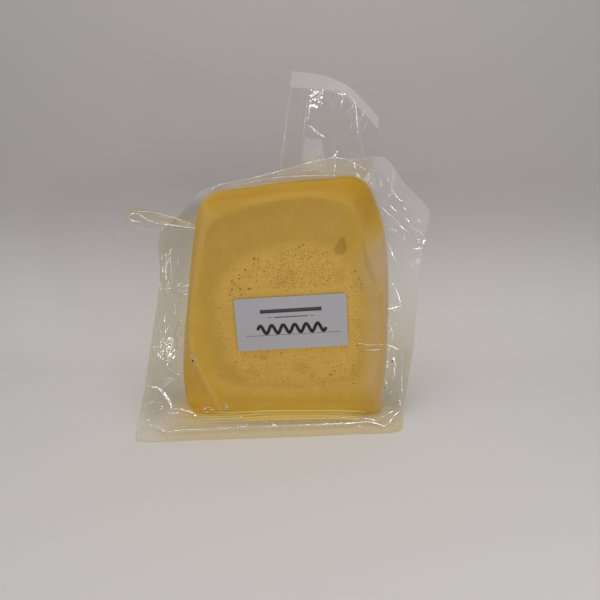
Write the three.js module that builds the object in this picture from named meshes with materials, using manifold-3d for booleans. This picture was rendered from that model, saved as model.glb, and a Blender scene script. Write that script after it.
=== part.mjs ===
// A slab of soft yellow cheese sealed under vacuum in a clear plastic bag, standing on its lower
// edge with the label to the front. The bag is larger than the slab, so its empty margin stands off
// as a stiff, wavy hem: a strip folded forward on the floor, a fin down each side, an ear at the
// upper left and the bag's mouth standing up as a tail.
//
// Millimetres. X runs to the right of the label side, Y away from it and Z up. The origin is the
// middle of the flat underside.

import * as THREE from 'three';
import { mergeVertices } from 'three/addons/utils/BufferGeometryUtils.js';
import Module from 'manifold-3d';

// ---- Driving dimensions ---------------------------------------------------------------------

const SLAB_THICKNESS = 30;
const HEM_THICKNESS = 0.9; // both films pressed together, kept stout enough to be a solid
const HEM_ROOT = 3; // how far the hem reaches into the slab, so that the two fuse
const STRIP_RIDGE = 2.4; // height of the crease that runs along the strip on the floor
const HEM_RIPPLE = 0.9; // how far the free edge waves to and fro
const RIPPLES = 17; // waves round the whole hem

const LABEL_WIDTH = 60;
const LABEL_HEIGHT = 30;
const LABEL_THICKNESS = 0.3;
const LABEL_CORNER = 0.6;
const LABEL_GAP = 0.35; // clear space between the label and the face behind it
const LABEL_CENTRE_X = 2.6;
const LABEL_CENTRE_Z = 58;
const LABEL_TILT = THREE.MathUtils.degToRad(3.5);

const COLOURS = { cheese: 0xd9a93c, paper: 0xd8d8e2 };

// Stations round the slab, clockwise from the middle of the underside. Each gives
//   rim   x, z   the slab's outline, where it is widest
//   face  x, z   the border of its flat front and back
//   edge         how deep the rounding from face to rim reaches
//   crisp        1 for a flat bevel between face and rim, 2 and more for a round one
//   seam  y      where the hem leaves the rim
//   hem   x,y,z  the bag's outer edge
const STATIONS = [
  // the underside, with the strip folded forward
  { rim: [4, 0], face: [4, 2.5], edge: 3.5, crisp: 2, seam: -13.5, hem: [4, -36.3, 0] },
  { rim: [-28, 0], face: [-22, 2.5], edge: 3.5, crisp: 2, seam: -13.5, hem: [-40, -39, 0] },
  { rim: [-49, 0], face: [-33, 2.5], edge: 3.5, crisp: 2, seam: -13.5, hem: [-76.5, -41.1, 0] },
  { rim: [-54, 0.6], face: [-36, 4], edge: 5, crisp: 1.8, seam: -12, hem: [-80, -39.7, 0] },
  // up the left side, past the oblique facet at its foot
  { rim: [-57.5, 4], face: [-38, 8], edge: 8, crisp: 1.5, seam: -8, hem: [-81.8, -28, 2] },
  { rim: [-59.8, 15], face: [-43, 18], edge: 12, crisp: 1.2, seam: -3.5, hem: [-80.8, -18.5, 12.6] },
  { rim: [-60, 28], face: [-48.5, 31], edge: 13, crisp: 1.2, seam: -1.5, hem: [-79, -10, 26] },
  { rim: [-58.2, 44], face: [-51.5, 45], edge: 13, crisp: 1.8, seam: -0.5, hem: [-76.6, -4.5, 43] },
  { rim: [-55, 62], face: [-50, 62], edge: 13, crisp: 3, seam: 0, hem: [-72.6, -0.5, 63] },
  { rim: [-52, 83], face: [-46.8, 82], edge: 13, crisp: 3, seam: 0, hem: [-69.8, 2, 85] },
  { rim: [-48.8, 103], face: [-43.2, 100], edge: 13, crisp: 2.8, seam: 0, hem: [-69, 2, 101] },
  { rim: [-46, 117], face: [-39.5, 110.5], edge: 13, crisp: 2.2, seam: 0, hem: [-57, 0.5, 113.5] },
  { rim: [-41, 124], face: [-34, 115.5], edge: 13, crisp: 1.8, seam: 0, hem: [-43.5, -0.8, 127] },
  // over the top, below the tented front film
  { rim: [-18, 128.6], face: [-18, 121], edge: 13, crisp: 1.6, seam: -0.5, hem: [-19, -3, 133.3] },
  { rim: [5, 131.7], face: [5, 125], edge: 13, crisp: 1.6, seam: -1, hem: [2, -3.5, 138.4] },
  { rim: [22, 132.8], face: [20, 124.5], edge: 13, crisp: 1.6, seam: -1, hem: [24, -3.5, 143.5] },
  { rim: [34.5, 134], face: [33, 120.5], edge: 13, crisp: 1.3, seam: -0.5, hem: [35, -2, 143] },
  // down the right side, from the wide flap below the mouth to the narrow fin
  { rim: [42.5, 129.5], face: [36, 113], edge: 13, crisp: 1.3, seam: 0, hem: [51.3, 4.5, 142.6] },
  { rim: [47.3, 120], face: [38.5, 106], edge: 13, crisp: 1.3, seam: 0.5, hem: [64, 7, 128.5] },
  { rim: [51, 110], face: [40.5, 97.5], edge: 13, crisp: 1.4, seam: 0.5, hem: [78, 10, 113.2] },
  { rim: [53.6, 98.5], face: [42.3, 88.5], edge: 13, crisp: 1.7, seam: 0.5, hem: [76.5, 7, 99.5] },
  { rim: [55.4, 78], face: [49, 74], edge: 13, crisp: 2.4, seam: 0.5, hem: [73.6, 3, 78] },
  { rim: [56, 52], face: [51.5, 50], edge: 13, crisp: 2.8, seam: 0, hem: [72.7, 0.5, 52] },
  { rim: [56, 28], face: [51.5, 28], edge: 13, crisp: 2.8, seam: -3, hem: [70.8, -3.5, 30] },
  { rim: [55.2, 13], face: [50.5, 13], edge: 10, crisp: 2.6, seam: -8, hem: [68.4, -8, 15] },
  { rim: [53.5, 3], face: [49, 5], edge: 6, crisp: 2.2, seam: -12, hem: [65.5, -14.5, 4] },
  { rim: [48, 0], face: [42, 3], edge: 4, crisp: 2, seam: -13, hem: [61.9, -29.9, 0] },
  { rim: [26, 0], face: [22, 3], edge: 4, crisp: 2, seam: -13, hem: [34.3, -33.6, 0] },
];

// The bag's mouth standing up behind the slab's top edge, by its left side, free edge and right side.
const TAIL_FOOT = [[-5.5, 0, 124], [12, 0, 127], [31, 0, 127], [44, 0, 119]];
const TAIL_CREST = [[3, 14, 185.6], [21, 14, 183], [34, 13, 177], [48.5, 10, 162.6]];
const TAIL_BULGE = 4; // where the two films part between foot and crest

// The ear: a corner of the bag rolled into a gutter that points left.
const EAR_ROOT = { x: -46, y: 0, low: 103, high: 109 };
const EAR_MIDDLE = { x: -66, y: 1, low: 101.5, high: 114 };
const EAR_SHOULDER = { x: -82, y: 3.5, low: 101, high: 116.8 };
const EAR_TIP = { x: -93.5, y: 6, low: 101.5, high: 105 };
const EAR_ROLL = 3.5; // depth of the gutter

// How finely the solids are cut.
const AROUND = 5; // facets from one station to the next
const ROUNDING_STEPS = 4;
const HEM_STEPS = 6;
const TAIL_STEPS = 14;
const EAR_STEPS = 10;

// ---- Solids ---------------------------------------------------------------------------------

const wasm = await Module();
wasm.setup();

function toSolid(geometry) {
  const bare = new THREE.BufferGeometry();
  bare.setAttribute('position', geometry.getAttribute('position'));
  bare.setIndex(geometry.getIndex());
  const merged = mergeVertices(bare, 1e-5);
  const solid = new wasm.Manifold(new wasm.Mesh({
    numProp: 3,
    vertProperties: new Float32Array(merged.getAttribute('position').array),
    triVerts: new Uint32Array(merged.getIndex().array),
  }));
  return solid;
}

function toGeometry(solid) {
  const mesh = solid.getMesh();
  const geometry = new THREE.BufferGeometry();
  geometry.setAttribute('position', new THREE.BufferAttribute(mesh.vertProperties, 3));
  geometry.setIndex(new THREE.BufferAttribute(mesh.triVerts, 1));
  geometry.computeVertexNormals();
  return geometry;
}

// A closed mesh from points and triangles, turned so that its faces point out.
function closedMesh(points, triangles) {
  let volume = 0;
  for (const [a, b, c] of triangles) {
    volume += points[a].dot(points[b].clone().cross(points[c]));
  }
  const facing = volume < 0 ? triangles.map(([a, b, c]) => [a, c, b]) : triangles;
  const geometry = new THREE.BufferGeometry().setFromPoints(points);
  geometry.setIndex(facing.flat());
  return geometry;
}

// Two triangles for every quad between two rows of equal length.
function stitch(rowA, rowB, ring, triangles) {
  const last = ring ? rowA.length : rowA.length - 1;
  for (let i = 0; i < last; i += 1) {
    const j = (i + 1) % rowA.length;
    triangles.push([rowA[i], rowA[j], rowB[j]], [rowA[i], rowB[j], rowB[i]]);
  }
}

// A solid through a stack of closed loops, with a fan over each end.
function loft(loops) {
  const points = loops.flat();
  const size = loops[0].length;
  const rows = loops.map((loop, k) => loop.map((_, i) => k * size + i));
  const triangles = [];
  for (let k = 0; k + 1 < rows.length; k += 1) {
    stitch(rows[k], rows[k + 1], true, triangles);
  }
  const ends = [[loops[0], rows[0], false], [loops.at(-1), rows.at(-1), true]];
  for (const [loop, row, flip] of ends) {
    const hub = new THREE.Vector3();
    loop.forEach((point) => hub.add(point));
    points.push(hub.divideScalar(size));
    const centre = points.length - 1;
    for (let i = 0; i < size; i += 1) {
      const j = (i + 1) % size;
      triangles.push(flip ? [centre, row[i], row[j]] : [centre, row[j], row[i]]);
    }
  }
  return closedMesh(points, triangles);
}

// A sheet of even thickness on both sides of a surface, given as rows of points. A ring closes on
// itself along its rows. Nothing of it goes below the floor.
function sheet(rows, thickness, ring) {
  const count = rows[0].length;
  const clampRow = (k) => Math.min(Math.max(k, 0), rows.length - 1);
  const along = (i) => (ring ? (i + count) % count : Math.min(Math.max(i, 0), count - 1));
  const points = [];
  const front = [];
  const back = [];
  rows.forEach((row, k) => {
    front.push([]);
    back.push([]);
    row.forEach((point, i) => {
      const lengthwise = row[along(i + 1)].clone().sub(row[along(i - 1)]);
      const crosswise = rows[clampRow(k + 1)][i].clone().sub(rows[clampRow(k - 1)][i]);
      const normal = lengthwise.cross(crosswise).normalize().multiplyScalar(thickness / 2);
      front[k].push(points.push(point.clone().add(normal)) - 1);
      back[k].push(points.push(point.clone().sub(normal)) - 1);
    });
  });
  const triangles = [];
  for (let k = 0; k + 1 < rows.length; k += 1) {
    stitch(front[k], front[k + 1], ring, triangles);
    stitch(back[k + 1], back[k], ring, triangles);
  }
  stitch(back[0], front[0], ring, triangles);
  stitch(front.at(-1), back.at(-1), ring, triangles);
  if (!ring) {
    stitch(front.map((row) => row[0]), back.map((row) => row[0]), false, triangles);
    stitch(back.map((row) => row.at(-1)), front.map((row) => row.at(-1)), false, triangles);
  }
  points.forEach((point) => { point.z = Math.max(point.z, 0); });
  return closedMesh(points, triangles);
}

// ---- The slab -------------------------------------------------------------------------------

const xz = ([x, z]) => new THREE.Vector3(x, 0, z);
const xyz = ([x, y, z]) => new THREE.Vector3(x, y, z);
const closedCurve = (points) => new THREE.CatmullRomCurve3(points, true, 'centripetal');

const rimCurve = closedCurve(STATIONS.map((station) => xz(station.rim)));
const faceCurve = closedCurve(STATIONS.map((station) => xz(station.face)));
const hemCurve = closedCurve(STATIONS.map((station) => xyz(station.hem)));
const FACETS = STATIONS.length * AROUND;
const places = Array.from({ length: FACETS }, (_, i) => i / FACETS);

// A value given at each station, eased from one to the next.
function between(name, place) {
  const position = place * STATIONS.length;
  const first = Math.floor(position);
  const share = THREE.MathUtils.smoothstep(position - first, 0, 1);
  const here = STATIONS[first % STATIONS.length][name];
  const next = STATIONS[(first + 1) % STATIONS.length][name];
  return THREE.MathUtils.lerp(here, next, share);
}

// The slab's skin at one place and depth below the flat face: a superellipse from the face's
// border out to the rim.
function slabPoint(place, depth, side) {
  const edge = between('edge', place);
  const crisp = between('crisp', place);
  const left = 1 - Math.min(depth / edge, 1);
  const out = (1 - left ** crisp) ** (1 / crisp);
  const point = faceCurve.getPoint(place).lerp(rimCurve.getPoint(place), out);
  point.y = side * (SLAB_THICKNESS / 2 - depth);
  point.z = Math.max(point.z, 0);
  return point;
}

// The loop at one turn of the rounding: 0 is the face's border, 1 the rim.
function slabLoop(turn, side) {
  return places.map((place) => {
    const power = 2 / between('crisp', place);
    const fall = 1 - Math.max(Math.cos(turn * Math.PI / 2), 0) ** power;
    return slabPoint(place, fall * between('edge', place), side);
  });
}

function slab() {
  const loops = [];
  for (let step = 0; step <= ROUNDING_STEPS; step += 1) {
    loops.push(slabLoop(step / ROUNDING_STEPS, -1));
  }
  for (let step = ROUNDING_STEPS; step >= 0; step -= 1) {
    loops.push(slabLoop(step / ROUNDING_STEPS, 1));
  }
  return loft(loops);
}

// ---- The hem, tail and ear ------------------------------------------------------------------

// The hem's surface: reach 0 is its root inside the slab, 1 the bag's outer edge.
function hemPoint(place, reach) {
  const rim = slabPoint(place, SLAB_THICKNESS / 2 + between('seam', place), -1);
  const edge = hemCurve.getPoint(place);
  const root = rim.clone().sub(edge.clone().sub(rim).normalize().multiplyScalar(HEM_ROOT));
  const point = root.lerp(edge, reach);
  const onFloor = THREE.MathUtils.smoothstep(30 - edge.z, 0, 30);
  const ripple = HEM_RIPPLE * Math.sin(2 * Math.PI * RIPPLES * place) * reach ** 2;
  point.y += ripple * (1 - onFloor);
  point.z += STRIP_RIDGE * onFloor * Math.sin(Math.PI * reach ** 0.8);
  point.z = Math.max(point.z, HEM_THICKNESS / 2 + (reach < 0.2 ? 0.5 : 0));
  return point;
}

function hem() {
  const rows = [];
  for (let step = 0; step <= HEM_STEPS; step += 1) {
    rows.push(places.map((place) => hemPoint(place, step / HEM_STEPS)));
  }
  return sheet(rows, HEM_THICKNESS, true);
}

function tail() {
  const foot = new THREE.CatmullRomCurve3(TAIL_FOOT.map(xyz));
  const crest = new THREE.CatmullRomCurve3(TAIL_CREST.map(xyz));
  const rows = [];
  for (let up = 0; up <= TAIL_STEPS; up += 1) {
    const height = up / TAIL_STEPS;
    const row = [];
    for (let across = 0; across <= TAIL_STEPS; across += 1) {
      const share = across / TAIL_STEPS;
      const point = foot.getPoint(share).lerp(crest.getPoint(share), height);
      const swell = Math.sin(Math.PI * share) * Math.sin(Math.PI * height);
      point.y -= TAIL_BULGE * swell;
      row.push(point);
    }
    rows.push(row);
  }
  return sheet(rows, HEM_THICKNESS, false);
}

function ear() {
  const profile = [EAR_ROOT, EAR_MIDDLE, EAR_SHOULDER, EAR_TIP];
  const low = new THREE.CatmullRomCurve3(profile.map((p) => new THREE.Vector3(p.x, p.y, p.low)));
  const high = new THREE.CatmullRomCurve3(profile.map((p) => new THREE.Vector3(p.x, p.y, p.high)));
  const rows = [];
  for (let out = 0; out <= EAR_STEPS; out += 1) {
    const place = out / EAR_STEPS;
    const bottom = low.getPoint(place);
    const top = high.getPoint(place);
    const row = [];
    for (let up = 0; up <= EAR_STEPS; up += 1) {
      const share = up / EAR_STEPS;
      const point = bottom.clone().lerp(top, share);
      point.y -= EAR_ROLL * Math.sin(Math.PI * share) * (1 - 0.6 * place);
      row.push(point);
    }
    rows.push(row);
  }
  return sheet(rows, HEM_THICKNESS, false);
}

// ---- The label ------------------------------------------------------------------------------

function label() {
  const w = LABEL_WIDTH / 2;
  const h = LABEL_HEIGHT / 2;
  const r = LABEL_CORNER;
  const outline = new THREE.Shape();
  outline.moveTo(-w + r, -h);
  outline.lineTo(w - r, -h);
  outline.absarc(w - r, -h + r, r, -Math.PI / 2, 0, false);
  outline.absarc(w - r, h - r, r, 0, Math.PI / 2, false);
  outline.absarc(-w + r, h - r, r, Math.PI / 2, Math.PI, false);
  outline.absarc(-w + r, -h + r, r, Math.PI, 1.5 * Math.PI, false);
  return new THREE.ExtrudeGeometry(outline, {
    depth: LABEL_THICKNESS, bevelEnabled: false, curveSegments: 4,
  });
}

// ---- The pack -------------------------------------------------------------------------------

const group = new THREE.Group();

const bagSolid = [slab(), hem(), tail(), ear()]
  .map(toSolid)
  .reduce((whole, piece) => whole.add(piece));
const bag = new THREE.Mesh(
  toGeometry(bagSolid),
  new THREE.MeshStandardMaterial({ color: COLOURS.cheese, roughness: 0.25, metalness: 0 }),
);
bag.name = 'bag';
group.add(bag);

// The label is drawn flat and stood up against the front face.
const labelMesh = new THREE.Mesh(
  label(),
  new THREE.MeshStandardMaterial({ color: COLOURS.paper, roughness: 0.6, metalness: 0 }),
);
labelMesh.name = 'label';
labelMesh.position.set(LABEL_CENTRE_X, -SLAB_THICKNESS / 2 - LABEL_GAP, LABEL_CENTRE_Z);
labelMesh.rotation.set(Math.PI / 2, 0, LABEL_TILT);
group.add(labelMesh);

export default group;
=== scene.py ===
"""A vacuum-packed slab of soft cheese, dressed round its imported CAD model.

Run as a script it builds the cheese, the clear film and its label in the part's own frame, in
metres, with the underside's middle at the origin, X to the right of the label side and Z up.
"""

import math
import random

import bpy
import numpy as np
from bpy.props import FloatProperty, FloatVectorProperty, IntProperty, PointerProperty
from bpy.types import Operator, Panel, PropertyGroup
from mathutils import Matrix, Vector, noise
from mathutils.bvhtree import BVHTree
from mathutils.geometry import delaunay_2d_cdt


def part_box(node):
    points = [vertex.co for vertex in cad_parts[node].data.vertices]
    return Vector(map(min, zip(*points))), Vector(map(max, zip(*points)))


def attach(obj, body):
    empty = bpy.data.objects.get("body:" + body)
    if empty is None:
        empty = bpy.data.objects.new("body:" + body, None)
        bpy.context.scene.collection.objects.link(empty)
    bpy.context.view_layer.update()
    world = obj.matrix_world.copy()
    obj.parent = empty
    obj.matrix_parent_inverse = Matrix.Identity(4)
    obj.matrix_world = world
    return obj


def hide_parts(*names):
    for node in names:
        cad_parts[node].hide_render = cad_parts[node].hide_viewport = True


bl_info = {
    "name": "Vacuum-packed cheese",
    "version": (1, 0, 0),
    "blender": (4, 5, 0),
    "location": "View3D > Sidebar > Packed cheese",
    "description": "Builds a slab of soft cheese in a clear vacuum bag, with its label and stage",
    "category": "Object",
}

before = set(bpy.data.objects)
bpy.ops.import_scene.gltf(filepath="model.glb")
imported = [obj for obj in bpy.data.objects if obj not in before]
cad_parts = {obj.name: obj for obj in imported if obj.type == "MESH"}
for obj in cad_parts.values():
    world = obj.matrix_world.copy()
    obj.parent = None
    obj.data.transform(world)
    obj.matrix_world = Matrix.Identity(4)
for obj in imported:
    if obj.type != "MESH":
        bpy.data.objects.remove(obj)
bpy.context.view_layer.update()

MM = 0.001

# ---- The pack's form, in millimetres, as the CAD model has it ----------------------------------

SLAB_THICKNESS = 30.0
HEM_THICKNESS = 0.9
HEM_ROOT = 3.0
STRIP_RIDGE = 2.4
HEM_RIPPLE = 0.9
RIPPLES = 17

# Stations round the slab, clockwise from the middle of the underside:
# rim x, z; face x, z; depth of the rounding; crispness; seam y; hem x, y, z.
STATION_KEYS = ("rim", "face", "edge", "crisp", "seam", "hem")
STATION_ROWS = (
    ((4, 0), (4, 2.5), 3.5, 2, -13.5, (4, -36.3, 0)),
    ((-28, 0), (-22, 2.5), 3.5, 2, -13.5, (-40, -39, 0)),
    ((-49, 0), (-33, 2.5), 3.5, 2, -13.5, (-76.5, -41.1, 0)),
    ((-54, 0.6), (-36, 4), 5, 1.8, -12, (-80, -39.7, 0)),
    ((-57.5, 4), (-38, 8), 8, 1.5, -8, (-81.8, -28, 2)),
    ((-59.8, 15), (-43, 18), 12, 1.2, -3.5, (-80.8, -18.5, 12.6)),
    ((-60, 28), (-48.5, 31), 13, 1.2, -1.5, (-79, -10, 26)),
    ((-58.2, 44), (-51.5, 45), 13, 1.8, -0.5, (-76.6, -4.5, 43)),
    ((-55, 62), (-50, 62), 13, 3, 0, (-72.6, -0.5, 63)),
    ((-52, 83), (-46.8, 82), 13, 3, 0, (-69.8, 2, 85)),
    ((-48.8, 103), (-43.2, 100), 13, 2.8, 0, (-69, 2, 101)),
    ((-46, 117), (-39.5, 110.5), 13, 2.2, 0, (-57, 0.5, 113.5)),
    ((-41, 124), (-34, 115.5), 13, 1.8, 0, (-43.5, -0.8, 127)),
    ((-18, 128.6), (-18, 121), 13, 1.6, -0.5, (-19, -3, 133.3)),
    ((5, 131.7), (5, 125), 13, 1.6, -1, (2, -3.5, 138.4)),
    ((22, 132.8), (20, 124.5), 13, 1.6, -1, (24, -3.5, 143.5)),
    ((34.5, 134), (33, 120.5), 13, 1.3, -0.5, (35, -2, 143)),
    ((42.5, 129.5), (36, 113), 13, 1.3, 0, (51.3, 4.5, 142.6)),
    ((47.3, 120), (38.5, 106), 13, 1.3, 0.5, (64, 7, 128.5)),
    ((51, 110), (40.5, 97.5), 13, 1.4, 0.5, (78, 10, 113.2)),
    ((53.6, 98.5), (42.3, 88.5), 13, 1.7, 0.5, (76.5, 7, 99.5)),
    ((55.4, 78), (49, 74), 13, 2.4, 0.5, (73.6, 3, 78)),
    ((56, 52), (51.5, 50), 13, 2.8, 0, (72.7, 0.5, 52)),
    ((56, 28), (51.5, 28), 13, 2.8, -3, (70.8, -3.5, 30)),
    ((55.2, 13), (50.5, 13), 10, 2.6, -8, (68.4, -8, 15)),
    ((53.5, 3), (49, 5), 6, 2.2, -12, (65.5, -14.5, 4)),
    ((48, 0), (42, 3), 4, 2, -13, (61.9, -29.9, 0)),
    ((26, 0), (22, 3), 4, 2, -13, (34.3, -33.6, 0)),
)
STATIONS = {
    key: np.array([row[i] for row in STATION_ROWS], float) for i, key in enumerate(STATION_KEYS)
}
STATION_COUNT = len(STATION_ROWS)

# Runs of stations: where each eases in, from and to, and where it eases out, from and to.
TOP_RUN = (11.5, 12.5, 17.5, 19.5)  # the slab's top
RIGHT_RUN = (18.5, 20, 26.5, 28)  # its right side
FACET_RUN = (3.0, 4.0, 7.0, 8.0)  # its oblique facet low on the left
DRY_RUN = (18.5, 20, 25.5, 27)  # the right side, where the film has let go
FLAP_RUN = (11, 12, 21, 23)  # the margin from over the top to the flap
SEAL_RUN = (16.1, 16.9, 19.7, 20.5)  # the broad seal at the upper right
# The foot runs past the first station, so its second pair eases in and its first out.
FOOT_EASES = ((3.2, 2.2), (25.5, 26.5))

TAIL_FOOT = ((-5.5, 0, 124), (12, 0, 127), (31, 0, 127), (44, 0, 119))
TAIL_CREST = ((3, 14, 185.6), (21, 14, 183), (34, 13, 177), (48.5, 10, 162.6))
TAIL_BULGE = 4.0

# x, y, low z, high z
EAR_PROFILE = ((-46, 0, 103, 109), (-66, 1, 101.5, 114), (-82, 3.5, 101, 116.8), (-93.5, 6, 101.5, 105))
EAR_ROLL = 3.5

LABEL_TILT = math.radians(3.5)
LABEL_CENTRE = (2.6, 58.0)


def catmull_rom(points, share, closed):
    """Centripetal Catmull-Rom curve through points, at shares 0 to 1 of its stations."""
    points = np.asarray(points, float)
    count = len(points)
    place = np.asarray(share, float) * (count if closed else count - 1)
    first = np.floor(place).astype(int)
    if not closed:
        first = np.clip(first, 0, count - 2)
    part = (place - first)[..., None]
    if closed:
        p0, p1, p2, p3 = (points[(first + k) % count] for k in (-1, 0, 1, 2))
    else:
        before = 2 * points[0] - points[1]
        after = 2 * points[-1] - points[-2]
        padded = np.vstack([before, points, after])
        p0, p1, p2, p3 = (padded[first + k] for k in (0, 1, 2, 3))
    d0, d1, d2 = (
        np.maximum(np.sum((b - a) ** 2, -1, keepdims=True) ** 0.25, 1e-4)
        for a, b in ((p0, p1), (p1, p2), (p2, p3))
    )
    m1 = ((p1 - p0) / d0 - (p2 - p0) / (d0 + d1) + (p2 - p1) / d1) * d1
    m2 = ((p2 - p1) / d1 - (p3 - p1) / (d1 + d2) + (p3 - p2) / d2) * d1
    c2 = -3 * p1 + 3 * p2 - 2 * m1 - m2
    c3 = 2 * p1 - 2 * p2 + m1 + m2
    return p1 + m1 * part + c2 * part**2 + c3 * part**3


def smooth(low, high, value):
    """Eases from 0 at low to 1 at high."""
    t = np.clip((value - low) / (high - low), 0, 1)
    return t * t * (3 - 2 * t)


def bell(value, spread):
    """1 where the value is 0, falling off on both sides over the spread."""
    return np.exp(-((value / spread) ** 2))


def within_run(run, station):
    """1 within a run of stations, eased to 0 beyond its ends."""
    low, full, still, high = run
    return smooth(low, full, station) * smooth(high, still, station)


def between(key, share):
    """A value given at each station, eased from one to the next."""
    place = np.asarray(share, float) * STATION_COUNT
    first = np.floor(place).astype(int)
    values = STATIONS[key]
    ease = smooth(0, 1, place - first)
    return values[first % STATION_COUNT] * (1 - ease) + values[(first + 1) % STATION_COUNT] * ease


def slab_point(share, depth, side):
    """The slab's skin at a share of the way round and a depth below its flat face."""
    edge = between("edge", share)
    crisp = between("crisp", share)
    left = 1 - np.minimum(depth / edge, 1)
    out = ((1 - left**crisp) ** (1 / crisp))[..., None]
    face = catmull_rom(STATIONS["face"], share, True)
    rim = catmull_rom(STATIONS["rim"], share, True)
    flat = face * (1 - out) + rim * out
    y = side * (SLAB_THICKNESS / 2 - depth)
    return np.stack([flat[..., 0], y, np.maximum(flat[..., 1], 0)], -1)


def slab_loop(share, turn, side):
    """One loop round the slab: turn 0 is the face's border, 1 the rim."""
    power = 2 / between("crisp", share)
    fall = 1 - np.maximum(np.cos(turn * math.pi / 2), 0) ** power
    return slab_point(share, fall * between("edge", share), side)


def hem_point(share, reach):
    """The empty margin's middle surface: reach 0 is its root in the slab, 1 the bag's edge."""
    rim = slab_point(share, SLAB_THICKNESS / 2 + between("seam", share), -1)
    edge = catmull_rom(STATIONS["hem"], share, True)
    away = edge - rim
    root = rim - away / np.linalg.norm(away, axis=-1, keepdims=True) * HEM_ROOT
    reach = np.asarray(reach, float)[..., None]
    point = root * (1 - reach) + edge * reach
    on_floor = smooth(0, 30, 30 - edge[..., 2])
    flat_reach = reach[..., 0]
    ripple = HEM_RIPPLE * np.sin(2 * np.pi * RIPPLES * np.asarray(share)) * flat_reach**2
    point[..., 1] += ripple * (1 - on_floor)
    point[..., 2] += STRIP_RIDGE * on_floor * np.sin(np.pi * flat_reach**0.8)
    lowest = HEM_THICKNESS / 2 + np.where(flat_reach < 0.2, 0.5, 0)
    point[..., 2] = np.maximum(point[..., 2], lowest)
    return point


def tail_point(across, up):
    """The bag's mouth: across 0 to 1 from left to right, up 0 to 1 from the slab to the crest."""
    foot = catmull_rom(TAIL_FOOT, across, False)
    crest = catmull_rom(TAIL_CREST, across, False)
    height = np.asarray(up, float)[..., None]
    point = foot * (1 - height) + crest * height
    point[..., 1] -= TAIL_BULGE * np.sin(np.pi * across) * np.sin(np.pi * np.asarray(up))
    return point


def ear_point(out, up):
    """The ear: out 0 to 1 from the slab to its tip, up 0 to 1 across its gutter."""
    profile = catmull_rom(EAR_PROFILE, out, False)
    low, high = profile[..., 2], profile[..., 3]
    z = low * (1 - up) + high * up
    y = profile[..., 1] - EAR_ROLL * np.sin(np.pi * up) * (1 - 0.6 * np.asarray(out))
    return np.stack([profile[..., 0], y, z], -1)


# ---- Meshes ------------------------------------------------------------------------------------


def strip_quads(rows, count, ring):
    """Quads between rows of count points each, closed round when ring is true."""
    here = np.arange(count if ring else count - 1)
    after = (here + 1) % count
    start = np.arange(rows - 1)[:, None] * count
    quads = np.stack([start + here, start + after, start + count + after, start + count + here], -1)
    return quads.reshape(-1, 4)


def vertex_normals(points, quads):
    """Unit normals of a quad mesh, weighted by area."""
    corners = points[quads]
    across = np.cross(corners[:, 2] - corners[:, 0], corners[:, 3] - corners[:, 1])
    normals = np.zeros_like(points)
    for k in range(4):
        np.add.at(normals, quads[:, k], across)
    return normals / np.maximum(np.linalg.norm(normals, axis=1, keepdims=True), 1e-12)


def make_object(name, points, faces, attributes=None):
    """A smooth-shaded object at the origin from points in millimetres and the faces given."""
    mesh = bpy.data.meshes.new(name)
    mesh.from_pydata((np.asarray(points) * MM).tolist(), [], faces)
    mesh.polygons.foreach_set("use_smooth", np.ones(len(mesh.polygons), bool))
    for key, values in (attributes or {}).items():
        layer = mesh.attributes.new(key, "FLOAT", "POINT")
        layer.data.foreach_set("value", np.asarray(values, np.float32))
    mesh.validate()
    mesh.update()
    thing = bpy.data.objects.new(name, mesh)
    bpy.context.scene.collection.objects.link(thing)
    return thing


def three_d(flat, y):
    """Points given as x, z, at their y."""
    return np.stack([flat[:, 0], y, flat[:, 1]], -1)


def sheet_faces(rows, count, ring):
    """Faces of two like sheets of points, the second turned over, joined along their borders."""
    quads = strip_quads(rows, count, ring)
    size = rows * count
    faces = quads.tolist() + (quads[:, ::-1] + size).tolist()
    index = np.arange(size).reshape(rows, count)
    if ring:
        borders = ([*index[0], index[0, 0]], [*index[-1], index[-1, 0]][::-1])
    else:
        borders = ([*index[0], *index[1:, -1], *index[-1, -2::-1], *index[-2::-1, 0]],)
    for loop in borders:
        for a, b in zip(loop, loop[1:]):
            faces.append([int(b), int(a), int(a) + size, int(b) + size])
    return faces


def shell(grid, ring, thickness, attributes):
    """Points, faces and attributes of a closed sheet of that thickness about a grid of points."""
    rows, count = grid.shape[:2]
    middle = grid.reshape(-1, 3)
    out = vertex_normals(middle, strip_quads(rows, count, ring)) * thickness / 2
    doubled = {key: np.tile(values.ravel(), 2) for key, values in attributes.items()}
    return np.vstack([middle + out, middle - out]), sheet_faces(rows, count, ring), doubled


def crumple(points, scale, seed, sharp):
    """Noise at each point, -1 to 1, or sharp-crested from 0 to 1, with features of scale mm."""
    shift = Vector((seed * 17.3, seed * 5.1, seed * 9.7))
    values = []
    for point in points:
        value = noise.noise(Vector(point) / scale + shift)
        values.append((1 - min(abs(value) * 2, 1)) ** 2 if sharp else value)
    return np.array(values)


def waves(points, layers):
    """Summed noise. Each layer has its height, feature size in mm, seed and whether it is sharp."""
    return sum(height * crumple(points, *layer) for height, *layer in layers)


# ---- Places seen in the photograph -------------------------------------------------------------

PHOTO_SIZE = 600  # the photograph's width and height in pixels
LENS = 36.0
SENSOR = 36.0
CAMERA_PLACE = (7.2, -317.0, 174.7)
CAMERA_DOWN = math.radians(19)
FACE_Y = -SLAB_THICKNESS / 2


def sight_line(px, py):
    """The direction from the camera through a pixel of the photograph."""
    right = (px - PHOTO_SIZE / 2) / PHOTO_SIZE * SENSOR / LENS
    up = (PHOTO_SIZE / 2 - py) / PHOTO_SIZE * SENSOR / LENS
    ahead, rise = math.cos(CAMERA_DOWN), math.sin(CAMERA_DOWN)
    return Vector((right, ahead + up * rise, up * ahead - rise)).normalized()


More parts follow.
